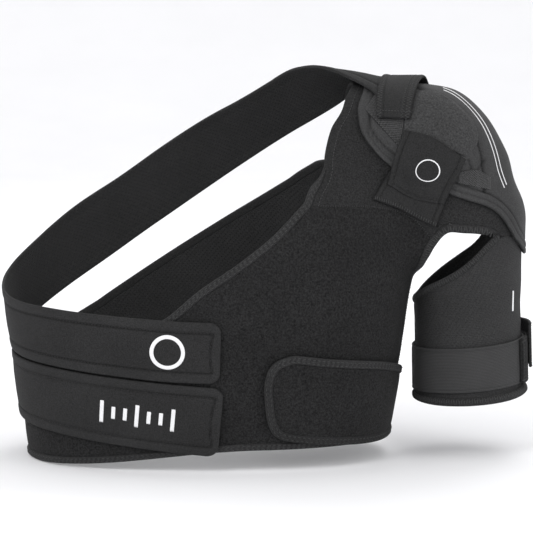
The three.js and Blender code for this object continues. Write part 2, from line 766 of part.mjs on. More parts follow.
function strap(name, rows, nu, nv) {
  const along = track(rows, strapKeys);
  const total = rows.slice(1).reduce((sum, row, i) => {
    return sum + Math.hypot(row.x - rows[i].x, row.y - rows[i].y, row.z - rows[i].z);
  }, 0);
  const warp = (t) => (t < 2 / nu ? (t * nu * END_ROUND) / (2 * total) :
    END_ROUND / total + ((t - 2 / nu) / (1 - 2 / nu)) * (1 - END_ROUND / total));
  const line = (t) => {
    const row = along(t);
    return settle(body, vec(row.x, row.y, row.z), 0);
  };
  const half = (t) => {
    const d = Math.min(t * total, END_ROUND);
    const cut = END_ROUND - Math.sqrt(END_ROUND ** 2 - (END_ROUND - d) ** 2);
    return along(t).wide / 2 - cut * 0.9;
  };
  const geometry = ribbon(
    body, (t) => line(warp(t)), (t) => -half(warp(t)), (t) => half(warp(t)), nu, nv,
    (u) => along(warp(u)).lift, (u) => along(warp(u)).lift + WEB,
  );
  add(name, geometry, STRAP_CLOTH);
}
strap("upper_strap", UPPER_STRAP, 52, 4);
strap("lower_strap", LOWER_STRAP, 26, 4);
const keeperChart = patch(
  between([107, -16], [95, -20]),
  between([99.5, 14], [86.5, 12]),
  between([107, -16], [99.5, 14]),
  between([95, -20], [86.5, 12]),
);
const keeperLow = (u, v) => ON_TONGUE + WEB + GAP - 4 * smooth(0.74, 1, v);
add(
  "keeper_strap",
  slab(lifted(shoulder, (u, v) => over(...keeperChart(u, v), 0)), 6, 8,
    keeperLow, (u, v) => keeperLow(u, v) + WEB),
  STRAP_CLOTH,
);

export default group;
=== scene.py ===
import math

import bpy
import numpy as np
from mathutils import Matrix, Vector


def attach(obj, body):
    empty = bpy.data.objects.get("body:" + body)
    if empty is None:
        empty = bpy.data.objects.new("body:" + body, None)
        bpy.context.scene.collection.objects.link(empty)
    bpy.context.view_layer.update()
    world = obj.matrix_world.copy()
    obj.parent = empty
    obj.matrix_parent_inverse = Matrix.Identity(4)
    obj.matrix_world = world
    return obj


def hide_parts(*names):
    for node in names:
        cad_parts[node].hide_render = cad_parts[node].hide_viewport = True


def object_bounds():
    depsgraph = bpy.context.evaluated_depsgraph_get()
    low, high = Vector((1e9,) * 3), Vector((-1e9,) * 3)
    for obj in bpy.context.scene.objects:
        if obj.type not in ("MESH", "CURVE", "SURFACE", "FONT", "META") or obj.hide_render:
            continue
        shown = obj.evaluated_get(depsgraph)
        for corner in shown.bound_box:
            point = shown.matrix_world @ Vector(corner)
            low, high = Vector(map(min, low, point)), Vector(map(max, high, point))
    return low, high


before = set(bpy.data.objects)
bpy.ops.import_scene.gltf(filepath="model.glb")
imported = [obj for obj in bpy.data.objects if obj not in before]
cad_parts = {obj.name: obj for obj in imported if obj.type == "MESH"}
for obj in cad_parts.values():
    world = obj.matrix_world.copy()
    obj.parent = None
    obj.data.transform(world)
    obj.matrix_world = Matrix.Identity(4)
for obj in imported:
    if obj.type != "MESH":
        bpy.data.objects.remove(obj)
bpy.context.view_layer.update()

# Sizes in millimetres, named as in the part's source. A few edges lie up to 4 mm from the solids'.
NEOPRENE, WEB, SHELL, RIM, TAPE = 3.0, 2.2, 2.0, 2.8, 3.8
GAP, LAYER, BIND_W, HEM_W = 0.4, 1.2, 7.5, 5.0
HEM_Z, HEM_RISE, SIDE_GAP = 1.0, 18.0, 32.0
STRAP_W, STRAP_BACK_W, STRAP_END_W = 52.0, 60.0, 58.0
SEAM_Z, SLEEVE_HEM_Z, BAND_H, BAND_Z, BAND_TILT = 195.0, 54.0, 39.0, 59.8, 4.4
SEAT = np.array([150.0, 10.0, 319.016])
OVER = TAPE + GAP + 0.2
CAP_LO = NEOPRENE + LAYER
CAP_HI = CAP_LO + SHELL
CAP_RIM = CAP_LO + RIM
ON_CAP = CAP_HI + 0.5
TONGUE_T = WEB - 0.4
ON_TONGUE = CAP_HI + 0.9 + TONGUE_T + GAP
PATCH_LO = CAP_LO + GAP

# The form that the brace is shaped on: height, half width, half depth, centre
TORSO = np.array([
    [-60, 145, 94, 2], [0, 153, 100, 1], [60, 161, 108, 0],
    [130, 171, 116, 0], [190, 178, 112, 3], [240, 166, 97, 8],
    [285, 130, 70, 14], [315, 80, 42, 18], [335, 40, 22, 20],
], float)
SQUARENESS = 2.35
NECK = ((70, 18, 298), 36)
SHOULDER = ((197, 10, 264), 45)
UPPER_ARM = ((226, 8, 205), 47)
MID_ARM = ((229.2, 8, 120), 43.8)
ELBOW = ((232.4, 8, -20), 44.8)
ARM_FLAT = 0.87
BLEND = 40


def column(k):
    xs, ys = TORSO[:, 0], TORSO[:, k]
    h, d = np.diff(xs), np.diff(ys) / np.diff(xs)
    m = np.empty(len(xs))
    m[1:-1] = (d[1:] * h[:-1] + d[:-1] * h[1:]) / (h[1:] + h[:-1])
    m[0], m[-1] = d[0], d[-1]

    def at(z):
        x = np.clip(z, xs[0], xs[-1])
        i = np.searchsorted(xs[1:-1], x)
        w = h[i]
        t = (x - xs[i]) / w
        a, b = 2 * t**3 - 3 * t**2, t**3 - 2 * t**2
        return (a + 1) * ys[i] + (b + t) * w * m[i] - a * ys[i + 1] + (t**3 - t**2) * w * m[i + 1]

    return at


wide_at, deep_at, back_at = column(1), column(2), column(3)


def smooth(a, b, x):
    t = np.clip((x - a) / (b - a), 0, 1)
    return t * t * (3 - 2 * t)


def blend(a, b, k):
    h = np.clip(0.5 + 0.5 * (b - a) / k, 0, 1)
    return b + (a - b) * h - k * h * (1 - h)


def torso(p):
    z = p[..., 2]
    x, y = p[..., 0] + 2.4 * (1 - smooth(10, 100, z)), p[..., 1] - back_at(z)
    q = (np.abs(x) / wide_at(z)) ** SQUARENESS + (np.abs(y) / deep_at(z)) ** SQUARENESS
    return np.hypot(x, y) * (1 - 1 / (q ** (1 / SQUARENESS) + 1e-9))


def limb(p, a, b):
    flat = np.array([1, ARM_FLAT, 1])
    ab = (np.array(b[0], float) - a[0]) * flat
    q = (p - a[0]) * flat
    t = np.clip(q @ ab / (ab @ ab), 0, 1)
    return np.linalg.norm(q - t[..., None] * ab, axis=-1) - (a[1] + t * (b[1] - a[1]))


def arm(p):
    return np.minimum(limb(p, UPPER_ARM, MID_ARM), limb(p, MID_ARM, ELBOW))


def joined_forms(p, away):
    ball = np.minimum(limb(p, SHOULDER, UPPER_ARM), limb(p, UPPER_ARM, MID_ARM))
    trunk = blend(torso(p), limb(p, NECK, SHOULDER), BLEND)
    return blend(trunk, ball + away, BLEND * (0.8 + 0.8 * (1 - smooth(195, 255, p[..., 2]))))


def body(p):
    return joined_forms(p, 70 * (1 - smooth(135, 185, p[..., 2])))


def shoulder(p):
    """The form under the cap, a little flatter high on its outer side and fuller below."""
    flat = np.hypot(p[..., 0] - 238, p[..., 2] - 305)
    full = np.hypot(p[..., 0] - 264, p[..., 2] - 258)
    near = 2.8 * np.exp(-((flat / 20) ** 2)) - 3.2 * np.exp(-((full / 17) ** 2))
    return joined_forms(p, 0) + near * np.exp(-(((p[..., 1] - 8) / 48) ** 2))


def slope(form, p):
    g = np.empty_like(p)
    for k in range(3):
        e = np.zeros(3)
        e[k] = 0.4
        g[..., k] = (form(p + e) - form(p - e)) / 0.8
    return g


def settle(form, p, lift=0.0, turns=4):
    q = np.array(p, float)
    for _ in range(turns):
        g = slope(form, q)
        q -= g * ((form(q) - lift) / np.maximum((g * g).sum(-1), 0.2))[..., None]
    return q


def cast(form, start, way):
    start, way = (np.array(a, float) for a in np.broadcast_arrays(start, way))
    far = np.full(start.shape[:-1], 330.0)
    out = np.ones(far.shape, bool)
    while out.any() and far[out].max() > 0:
        hit = form(start[out] + way[out] * far[out][:, None]) > 0
        keep = out.copy()
        keep[out] = hit & (far[out] > 0)
        out = keep
        far[out] -= 4
    lo, hi = far, far + 4
    for _ in range(16):
        mid = (lo + hi) / 2
        up = form(start + way * mid[..., None]) > 0
        hi, lo = np.where(up, mid, hi), np.where(up, lo, mid)
    return start + way * lo[..., None]


def xyz(x, y, z):
    return np.stack([a + 0.0 for a in np.broadcast_arrays(x, y, z)], -1)


# Charts: a place on the form from two numbers
TURN_X, TURN_R = 100.0, 80.0
TURN = math.pi * TURN_R
WRAP = 2 * TURN_X + TURN


def arm_side(z):
    return TURN_X + 92 * smooth(120, 182, z)


def round_body(s, z):
    s, z = np.broadcast_arrays(np.asarray(s, float), np.asarray(z, float))
    behind = s < -TURN_X - TURN
    x = np.where(behind, -s - WRAP, s)
    edge = arm_side(z)
    a = np.maximum(x - edge, 0) / TURN_R
    face = np.where(behind, 1.0, -1.0)
    cx, dx, dy = np.minimum(x, edge), np.sin(a), face * np.cos(a)
    free = (s < -TURN_X) & ~behind
    b = (-TURN_X - s) / TURN_R
    cx = np.where(free, -TURN_X, cx)
    dx, dy = np.where(free, -np.sin(b), dx), np.where(free, -np.cos(b), dy)
    return cast(body, xyz(cx, 0, z), xyz(dx, dy, 0))


def mirror_s(s):
    return -WRAP - s


def on_front(q):
    return round_body(q[..., 0], q[..., 1])


def on_back(q):
    return round_body(mirror_s(q[..., 0]), q[..., 1])


PIVOT = np.array([188.0, 8.0, 160.0])


def over(q):
    a, b = np.radians(q[..., 0]), np.radians(q[..., 1])
    way = xyz(np.cos(b) * np.cos(a), np.sin(b), np.cos(b) * np.sin(a))
    return cast(shoulder, PIVOT, way)


def over_of(p):
    d = p - PIVOT
    a = np.degrees(np.arctan2(d[..., 2], d[..., 0]))
    b = np.degrees(np.arctan2(d[..., 1], np.hypot(d[..., 0], d[..., 2])))
    return np.stack([np.where(a < -90, a + 360, a), b], -1)


def around_arm(deg, z):
    a = np.radians(deg)
    return cast(arm, xyz(MID_ARM[0][0], 8, z), xyz(np.cos(a), np.sin(a), 0))


def facing(q):
    return cast(shoulder, xyz(q[..., 0], 0, q[..., 1]), np.array([0, -1, 0]))


def path(points):
    """A centripetal Catmull-Rom curve through points, each an equal share of 0 to 1."""
    p = np.array(points, float)
    ends = np.vstack([2 * p[0] - p[1], p, 2 * p[-1] - p[-2]])
    step = np.linalg.norm(np.diff(ends, axis=0), axis=1) ** 0.5
    n = len(p)

    def at(t):
        f = np.clip(np.asarray(t, float), 0, 1) * (n - 1)
        i = np.minimum(f.astype(int), n - 2)
        w = (f - i)[..., None]
        p0, p1, p2, p3 = (ends[i + k] for k in range(4))
        d0, d1, d2 = (np.maximum(step[i + k], 1e-4)[..., None] for k in range(3))
        m1 = ((p1 - p0) / d0 - (p2 - p0) / (d0 + d1) + (p2 - p1) / d1) * d1
        m2 = ((p2 - p1) / d1 - (p3 - p1) / (d1 + d2) + (p3 - p2) / d2) * d1
        return (2 * w**3 - 3 * w**2 + 1) * p1 + (w**3 - 2 * w**2 + w) * m1 \
            + (3 * w**2 - 2 * w**3) * p2 + (w**3 - w**2) * m2

    return at


def line(p, q):
    p, q = np.array(p, float), np.array(q, float)
    return lambda t: p + (q - p) * np.asarray(t, float)[..., None]


def patch(low, high, first, last):
    """A four-sided patch between its edges."""
    def at(u, v):
        U, V = u[..., None], v[..., None]
        zero, one = np.zeros(()), np.ones(())
        ruled = (1 - V) * low(u) + V * high(u) + (1 - U) * first(v) + U * last(v)
        return ruled - ((1 - U) * (1 - V) * low(zero) + U * (1 - V) * low(one)
                        + (1 - U) * V * high(zero) + U * V * high(one))
    return at


def chained(a, b, share):
    def at(t):
        t = np.asarray(t, float)
        return np.where((t <= share)[..., None], a(t / share), b((t - share) / (1 - share)))
    return at


# Grids on the form
def spread(length, step):
    """Places from 0 to 1, closer together near the ends, where an edge is rounded."""
    near = np.array([0, 0.2, 0.55, 1.0, 1.6, 2.6])
    n = max(int(round((length - 2 * near[-1]) / step)), 2)
    mid = np.linspace(near[-1], length - near[-1], n + 1)
    return np.concatenate([near[:-1], mid, (length - near[:-1])[::-1]]) / length


def cubic(n, t, loop=False):
    """Weights that read a smooth curve at t from n + 1 even samples."""
    f = np.clip(t, 0, 1) * n
    i = np.minimum(f.astype(int), n - 1)
    w = f - i
    parts = [-0.5 * w**3 + w**2 - 0.5 * w, 1.5 * w**3 - 2.5 * w**2 + 1,
             -1.5 * w**3 + 2 * w**2 + 0.5 * w, 0.5 * w**3 - 0.5 * w**2]
    out = np.zeros((len(t), n + 1))
    row = np.arange(len(t))
    for k, part in enumerate(parts):
        j = i + k - 1
        if loop:
            np.add.at(out, (row, j % n), part)
            continue
        low, high = j < 0, j > n
        np.add.at(out, (row[~low & ~high], j[~low & ~high]), part[~low & ~high])
        np.add.at(out, (row[low], 0 * j[low]), 2 * part[low])
        np.add.at(out, (row[low], 0 * j[low] + 1), -part[low])
        np.add.at(out, (row[high], 0 * j[high] + n), 2 * part[high])
        np.add.at(out, (row[high], 0 * j[high] + n - 1), -part[high])
    return out


def unit(v):
    return v / np.maximum(np.linalg.norm(v, axis=-1, keepdims=True), 1e-9)


class Grid:
    """Places on the form in rows and columns, with the way out and the lengths along."""

    def __init__(self, places, form=None, loop=False, out=None):
        self.P, self.loop = places, loop
        step_u = np.linalg.norm(np.diff(places, axis=1), axis=-1)
        step_v = np.linalg.norm(np.diff(places, axis=0), axis=-1)
        self.u = np.hstack([np.zeros((len(places), 1)), np.cumsum(step_u, 1)])
        self.v = np.vstack([np.zeros((1, places.shape[1])), np.cumsum(step_v, 0)])
        self.away = [self.u, self.u[:, -1:] - self.u, self.v, self.v[-1:] - self.v]
        self.d = np.minimum.reduce(self.away[2:] if loop else self.away)
        pu = np.gradient(places, axis=1)
        if loop:
            pu[:, 0] = pu[:, -1] = places[:, 1] - places[:, -2]
        n = unit(np.cross(pu, np.gradient(places, axis=0)))
        seen = out if out is not None else slope(form, places)
        self.flip = (n * seen).sum() < 0
        self.N = -n if self.flip else n
        self.H = np.zeros(self.d.shape)
        # tone multiplies the colour: painted shade in grooves, creases and at edges, and on the panels a
        # random unevenness of the cloth
        self.tone = np.ones(self.d.shape)

    def at(self, i, j, lift=0.0):
        """The top surface and the way out at fractional column i and row j."""
        m, n = self.d.shape
        i, j = np.clip(i, 0, n - 1), np.clip(j, 0, m - 1)
        a, b = np.minimum(i.astype(int), n - 2), np.minimum(j.astype(int), m - 2)
        s, t = (i - a)[..., None], (j - b)[..., None]
        top = self.P + self.N * (self.H + lift)[..., None]

        def mix(f):
            return (f[b, a] * (1 - s) + f[b, a + 1] * s) * (1 - t) \
                + (f[b + 1, a] * (1 - s) + f[b + 1, a + 1] * s) * t

        return mix(top), unit(mix(self.N))

    def beside(self, side, mm, span=(0, 1), clear=()):
        """Columns and rows of the line that runs mm inside one side of the grid."""
        m, n = self.d.shape
        away = self.away[side]
        if side < 2:
            rows = np.arange(m, dtype=float)
            flip = -1 if side else 1
            cols = np.array([np.interp(mm, away[k, ::flip], np.arange(n)[::flip]) for k in range(m)])
        else:
            cols = np.arange(n, dtype=float)
            flip = -1 if side == 3 else 1
            rows = np.array([np.interp(mm, away[::flip, k], np.arange(m)[::flip]) for k in range(n)])
        count = len(cols)
        part = slice(int(span[0] * (count - 1)), int(math.ceil(span[1] * (count - 1))) + 1)
        cols, rows = cols[part], rows[part]
        for other, least in clear:
            near = self.away[other][np.round(rows).astype(int), np.round(cols).astype(int)]
            cols, rows = cols[near >= least], rows[near >= least]
        return cols, rows


def surface(form, chart, us, vs, nu, nv, loop=False):
    """A grid at us and vs, read from nu by nv samples of a chart."""
    u, v = np.meshgrid(np.linspace(0, 1, nu + 1), np.linspace(0, 1, nv + 1))
    rows = np.einsum("ij,jkc->ikc", cubic(nv, vs), chart(u, v))
    places = np.einsum("lk,ikc->ilc", cubic(nu, us, loop), rows)
    return Grid(settle(form, places, 0, 3), form, loop)


def lengths(p):
    """Length along a line of points, up to each point."""
    return np.concatenate([[0], np.cumsum(np.linalg.norm(np.diff(p, axis=0), axis=1))])


def read(at, s, values):
    return np.stack([np.interp(at, s, values[:, k]) for k in range(3)], -1)


def calmed(p):
    return 0.25 * p[:-2] + 0.5 * p[1:-1] + 0.25 * p[2:]


def ribbon(form, points, inner, outer, step=1.3, cols=None, calm=6):
    """A band beside a line on the form, from its inner to its outer distance."""
    s = lengths(points)
    p = read(np.linspace(0, s[-1], max(int(round(s[-1] / step)), 2) + 1), s, points)
    for _ in range(calm):
        p[1:-1] = calmed(p)
    ends = spread(s[-1], step)
    p = read(ends, np.linspace(0, 1, len(p)), settle(form, p))
    side = unit(np.cross(unit(np.gradient(p, axis=0)), unit(slope(form, p))))
    a = np.broadcast_to(inner(ends) if callable(inner) else inner, ends.shape)
    b = np.broadcast_to(outer(ends) if callable(outer) else outer, ends.shape)
    vs = spread(abs(b - a).max(), 1.1) if cols is None else cols
    w = a + (b - a) * vs[:, None]
    return Grid(settle(form, p + side * w[..., None]), form)


# Meshes
def pinched(g, folds, deep=0.8, clear=12):
    """Foam-backed cloth: thinner at its edge, uneven further in."""
    return NEOPRENE - deep * np.exp(-g.d / 2.5) + smooth(0, clear, g.d) * folds


def solid(g, low, high, side=None, lined=True):
    """A closed piece between two lifts of a grid, with its edges rounded over."""
    low, high = np.broadcast_to(low, g.d.shape) + 0.0, np.broadcast_to(high, g.d.shape) + 0.0
    half, mid = (high - low) / 2, (high + low) / 2
    r = half if side is None else side
    s = np.sqrt(1 - (1 - np.clip(g.d / r, 0, 1)) ** 2)
    g.H = mid + half * s
    top = g.P + g.N * g.H[..., None]
    low_side = g.P + g.N * (mid - half * s)[..., None]
    m, n = g.d.shape
    index = np.arange(m * n).reshape(m, n)
    under = index + m * n
    rim = np.zeros((m, n), bool)
    rim[0] = rim[-1] = True
    if not g.loop:
        rim[:, 0] = rim[:, -1] = True
    under[rim] = index[rim]
    if g.loop:
        index[:, -1], under[:, -1] = index[:, 0], under[:, 0]

    def quads(k):
        return np.stack([k[:-1, :-1], k[:-1, 1:], k[1:, 1:], k[1:, :-1]], -1).reshape(-1, 4)

    corner = quads(np.arange(m * n).reshape(m, n))
    up, down = quads(index), quads(under)[:, ::-1]
    if g.flip:
        up, down = up[:, ::-1], down[:, ::-1]
        corners = [corner[:, ::-1], corner]
    else:
        corners = [corner, corner[:, ::-1]]
    uv = np.stack([g.u.ravel(), g.v.ravel()], -1) / 1000
    return {
        "verts": np.vstack([top.reshape(-1, 3), low_side.reshape(-1, 3)]),
        "faces": np.vstack([up, down]),
        "uv": uv[np.vstack(corners)].reshape(-1, 2),
        "slot": np.repeat([0, 1 if lined else 0], len(up)),
        "edge": np.tile(g.d.ravel(), 2),
        "tone": np.concatenate([g.tone.ravel(), np.ones(g.tone.size)]),
    }


def added(name, data):
    obj = bpy.data.objects.new(name, data)
    bpy.context.scene.collection.objects.link(obj)
    return obj


def build(name, parts, mats, replaces=True):
    """Joins closed parts into one object that rides on the frame, in the place of the node of its name."""
    verts, faces, start = [], [], 0
    parts = [part for part in parts if part]
    for part in parts:
        used, renamed = np.unique(part["faces"], return_inverse=True)
        faces.append(renamed.reshape(-1, 4) + start)
        verts.append(part["verts"][used])
        part["edge"], part["tone"] = part["edge"][used], part["tone"][used]
        start += len(used)
    verts = (np.vstack(verts) - SEAT) / 1000
    faces = np.vstack(faces)
    mesh = bpy.data.meshes.new(name)
    mesh.vertices.add(len(verts))
    mesh.vertices.foreach_set("co", verts.astype(np.float32).ravel())
    mesh.loops.add(faces.size)
    mesh.loops.foreach_set("vertex_index", faces.astype(np.int32).ravel())
    mesh.polygons.add(len(faces))
    mesh.polygons.foreach_set("loop_start", np.arange(0, faces.size, 4, dtype=np.int32))
    mesh.polygons.foreach_set("material_index", np.concatenate([p["slot"] for p in parts]).astype(np.int32))
    mesh.polygons.foreach_set("use_smooth", np.full(len(faces), True))
    mesh.update(calc_edges=True)
    layer = mesh.uv_layers.new(name="UVMap")
    layer.data.foreach_set("uv", np.vstack([p["uv"] for p in parts]).astype(np.float32).ravel())
    for key in ("edge", "tone"):
        values = mesh.attributes.new(key, "FLOAT", "POINT")
        values.data.foreach_set("value", np.concatenate([p[key] for p in parts]).astype(np.float32))
    mesh.validate()
    for mat in mats:
        mesh.materials.append(mat)
    obj = added(name, mesh)
    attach(obj, "root")
    if replaces:
        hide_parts(name)
    return obj


def threads(centres, along, out, length, radius=0.3, arch=0.35, sink=0.12):
    """Short stitches: arched tubes that rise from the cloth and go back in."""
    t = np.array([-0.5, -0.36, 0.0, 0.36, 0.5])
    fat = np.array([0.45, 0.95, 1.0, 0.95, 0.45]) * radius
    sides = 5
    k = len(centres)
    length = np.broadcast_to(length, (k,))
    side = unit(np.cross(along, out))
    mid = centres[:, None] + along[:, None] * (t * length[:, None])[..., None] \
        + out[:, None] * (arch * (1 - 4 * t**2) - sink)[:, None]
    a = np.arange(sides) * 2 * math.pi / sides
    ring = side[:, None, None] * np.cos(a)[:, None] + out[:, None, None] * np.sin(a)[:, None]
    verts = (mid[:, :, None] + ring * fat[:, None, None]).reshape(-1, 3)
    base = np.arange(k * 5 * sides).reshape(k, 5, sides)
    nxt = np.roll(base, -1, axis=2)
    faces = np.stack([base[:, :-1], nxt[:, :-1], nxt[:, 1:], base[:, 1:]], -1).reshape(-1, 4)
    uv = np.zeros((faces.size, 2))
    uv[:, 0] = np.tile([0, 0, 0.001, 0.001], len(faces))
    return {"verts": verts, "faces": faces, "uv": uv, "slot": np.zeros(len(faces), int),
            "edge": np.full(len(verts), 9.0), "tone": np.ones(len(verts))}


def run(g, cols, rows, pitch, length, skew=0.0, zig=False, lift=0.0, **more):
    """Stitches along a line of a grid; skew turns each, zig turns every second one back."""
    p, n = g.at(cols, rows, lift)
    keep = np.concatenate([[True], np.linalg.norm(np.diff(p, axis=0), axis=1) > 1e-6])
    p, n = p[keep], n[keep]
    if len(p) < 3:
        return None
    s = lengths(p)
    count = max(int(s[-1] / pitch), 1)
    at = (np.arange(count) + 0.5) * s[-1] / count
    out = unit(read(at, s, n))
    tangent = unit(read(at, s, np.gradient(p, s, axis=0)))
    turn = np.radians(skew) * (np.where(np.arange(count) % 2, -1, 1) if zig else np.ones(count))
    side = np.cross(tangent, out)
    way = unit(tangent * np.cos(turn)[:, None] + side * np.sin(turn)[:, None])
    return threads(read(at, s, p), way, out, length, **more)


def waves(p, size, seed):
    """Gentle unevenness, about 1 high, with swells of the given size."""
    rng = np.random.default_rng(seed)
    out = np.zeros(p.shape[:-1])
    for _ in range(7):
        d = unit(rng.normal(size=3))
        out += np.sin(p @ d * (2 * math.pi / (size * rng.uniform(0.7, 1.6))) + rng.uniform(0, 6.28))
    return out / 3.2


def dip(d, at, width):
    return np.exp(-(((d - at) / width) ** 2))


def near_line(p, points):
    """Distance from each place to a line of points."""
    best = np.full(p.shape[:-1], 1e9)
    for a, b in zip(points[:-1], points[1:]):
        ab = b - a
        t = np.clip((p - a) @ ab / max(ab @ ab, 1e-9), 0, 1)
        best = np.minimum(best, np.linalg.norm(p - a - t[..., None] * ab, axis=-1))
    return best


# Materials
class Shader:
    def __init__(self, name, rough, sheen=0.0, tint=0.3, level=0.35):
        self.mat = bpy.data.materials.new(name)
        self.mat.use_nodes = True
        self.tree = self.mat.node_tree
        self.top = self.tree.nodes["Principled BSDF"]
        for key, value in (("Roughness", rough), ("Specular IOR Level", level), ("Sheen Weight", sheen),
                           ("Sheen Roughness", 0.5), ("Sheen Tint", (tint, tint, tint, 1))):
            self.top.inputs[key].default_value = value
        where = self.tree.nodes.new("ShaderNodeTexCoord")
        self.object, self.uv = where.outputs["Object"], where.outputs["UV"]

    def node(self, kind, ins=(), **props):
        n = self.tree.nodes.new(kind)
        for key, value in props.items():
            setattr(n, key, value)
        for key, value in dict(ins).items():
            if isinstance(value, bpy.types.NodeSocket):
                self.tree.links.new(value, n.inputs[key])
            else:
                n.inputs[key].default_value = value
        return n

    def noise(self, scale, detail=2.0):
        ins = {"Vector": self.object, "Scale": scale, "Detail": detail, "Roughness": 0.55}
        return self.node("ShaderNodeTexNoise", ins).outputs["Fac"]

    def calc(self, op, a, b=0.0, c=0.0):
        return self.node("ShaderNodeMath", {0: a, 1: b, 2: c}, operation=op).outputs[0]

    def ramp(self, value, low, high):
        return self.node("ShaderNodeMapRange", {"Value": value, "From Min": low, "From Max": high}).outputs[0]

    def colour(self, fac, dark, light):
        n = self.node("ShaderNodeMix", {"Factor": fac}, data_type="RGBA")
        n.inputs["A"].default_value = (*dark, 1)
        n.inputs["B"].default_value = (*light, 1)
        return n.outputs["Result"]

    def times(self, colour, value):
        both = self.node("ShaderNodeCombineColor", {0: value, 1: value, 2: value}).outputs[0]
        n = self.node("ShaderNodeMix", {"Factor": 1.0}, data_type="RGBA", blend_type="MULTIPLY")
        self.tree.links.new(colour, n.inputs["A"])
        self.tree.links.new(both, n.inputs["B"])
        return n.outputs["Result"]

    def finish(self, colour, heights, toned=True):
        """Sets the colour, and stacks bumps from pairs of height and depth in millimetres."""
        # Multiplies the colour by the tone attribute, which carries painted shade in grooves, creases and at
        # edges.
        if toned:
            shade = self.node("ShaderNodeAttribute", attribute_name="tone").outputs["Fac"]
            colour = self.times(colour, shade)
        self.tree.links.new(colour, self.top.inputs["Base Color"])
        normal = None
        for height, depth in heights:
            n = self.node("ShaderNodeBump", {"Height": height, "Distance": depth / 1000, "Strength": 1.0})
            if normal is not None:
                self.tree.links.new(normal, n.inputs["Normal"])
            normal = n.outputs[0]
        if normal is not None:
            self.tree.links.new(normal, self.top.inputs["Normal"])
        return self.mat

    def mottled(self, colour, scale, amount):
        """Broad patches, a little paler and darker."""
        patches = self.ramp(self.noise(scale), 0.3, 0.7)
        return self.times(colour, self.calc("MULTIPLY_ADD", patches, amount, 1 - amount / 2))

    def edge_wear(self, colour, amount):
        """Paler where the edge of the piece is near."""
        d = self.node("ShaderNodeAttribute", attribute_name="edge").outputs["Fac"]
        worn = self.calc("MULTIPLY", self.ramp(d, 2.5, 0.0), self.ramp(self.noise(160), 0.35, 0.75))
        return self.times(colour, self.calc("MULTIPLY_ADD", worn, amount, 1.0))

    def split(self, scale_u, scale_v, turn=0.0):
        place = self.node("ShaderNodeMapping", {"Vector": self.uv, "Scale": (scale_u, scale_v, 1.0),
                                                "Rotation": (0, 0, turn)}).outputs[0]
        parts = self.node("ShaderNodeSeparateXYZ", {0: place})
        return place, parts.outputs[0], parts.outputs[1]


WAVES = 6283  # turns a length in metres into an angle, for a wave 1 mm long


def grey(value):
    return (value, value, value * 1.02)


def brushed(name, low, high, clump=620.0, rough=0.95, sheen=0.35, depth=0.55):
    """Loop-faced neoprene: clumped short fibres with paler tips."""
    s = Shader(name, rough, sheen, 0.35, 0.12)
    clumps = s.noise(clump, 3.0)
    fibre = s.noise(clump * 3.4, 2.0)
    mixed = s.calc("MULTIPLY_ADD", fibre, 0.45, s.calc("MULTIPLY", clumps, 0.55))
    tips = s.ramp(mixed, 0.36, 0.66)
    colour = s.mottled(s.colour(tips, grey(low), grey(high)), 17.0, 0.22)
    colour = s.edge_wear(colour, 0.2)
    return s.finish(colour, [(clumps, depth), (fibre, depth * 0.45)])


def knitted(name, low, high, rough=0.85, sheen=0.2, holes=0.0, rib=1.1, depth=0.12, shade=0.3):
    """Smooth jersey face: fine ribs of loops, and small punched dots where holes is set."""
    s = Shader(name, rough, sheen, 0.35, 0.14)
    _, u, v = s.split(WAVES / rib, WAVES / (rib * 1.3))
    row = s.calc("SINE", v)
    loop = s.calc("SINE", s.calc("MULTIPLY_ADD", s.calc("SINE", s.calc("MULTIPLY", v, 0.5)), 0.7, u))
    weave = s.calc("MULTIPLY_ADD", loop, 0.5, s.calc("MULTIPLY", row, 0.5))
    fuzz = s.noise(900.0, 3.0)
    tone = s.calc("MULTIPLY_ADD", weave, 0.16, fuzz)
    colour = s.colour(s.ramp(tone, 0.28, 0.72), grey(low), grey(high))
    colour = s.edge_wear(s.mottled(colour, 22.0, 0.16), 0.25)
    heights = [(weave, depth), (fuzz, 0.16)]
    if holes:
        place, _, _ = s.split(1000 / holes, 1000 / holes, 0.7854)
        dots = s.node("ShaderNodeTexVoronoi", {"Vector": place, "Scale": 1.0, "Randomness": 0.0},
                      voronoi_dimensions="2D").outputs["Distance"]
        open_ = s.ramp(dots, 0.1, 0.24)
        colour = s.times(colour, s.calc("MULTIPLY_ADD", open_, shade, 1 - shade))
        heights.append((open_, 0.25))
    return s.finish(colour, heights)


def woven(name, low, high, ribs=1.3, yarns=0.8, depth=0.25):
    """Elastic webbing: ribs along the band, crossed by fine yarns."""
    s = Shader(name, 0.75, 0.05, 0.4, 0.2)
    _, u, v = s.split(WAVES / yarns, WAVES / ribs)
    rib = s.calc("SINE", v)
    yarn = s.calc("SINE", s.calc("MULTIPLY_ADD", s.calc("SIGN", rib), 1.57, u))
    both = s.calc("MULTIPLY_ADD", yarn, 0.4, s.calc("MULTIPLY", rib, 0.6))
    fuzz = s.noise(1100.0, 2.0)
    tone = s.ramp(s.calc("MULTIPLY_ADD", fuzz, 1.2, both), -0.6, 1.8)
    colour = s.mottled(s.colour(tone, grey(low), grey(high)), 30.0, 0.14)
    return s.finish(s.edge_wear(colour, 0.2), [(both, depth), (fuzz, 0.1)])


def plain(name, low, high, rough, grain=700.0, depth=0.1, toned=True):
    """Thread, print, net yarn and floor: one tone with a fine grain."""
    s = Shader(name, rough, tint=0.4)
    speck = s.noise(grain, 2.0)
    return s.finish(s.colour(s.ramp(speck, 0.3, 0.7), grey(low), grey(high)), [(speck, depth)], toned)


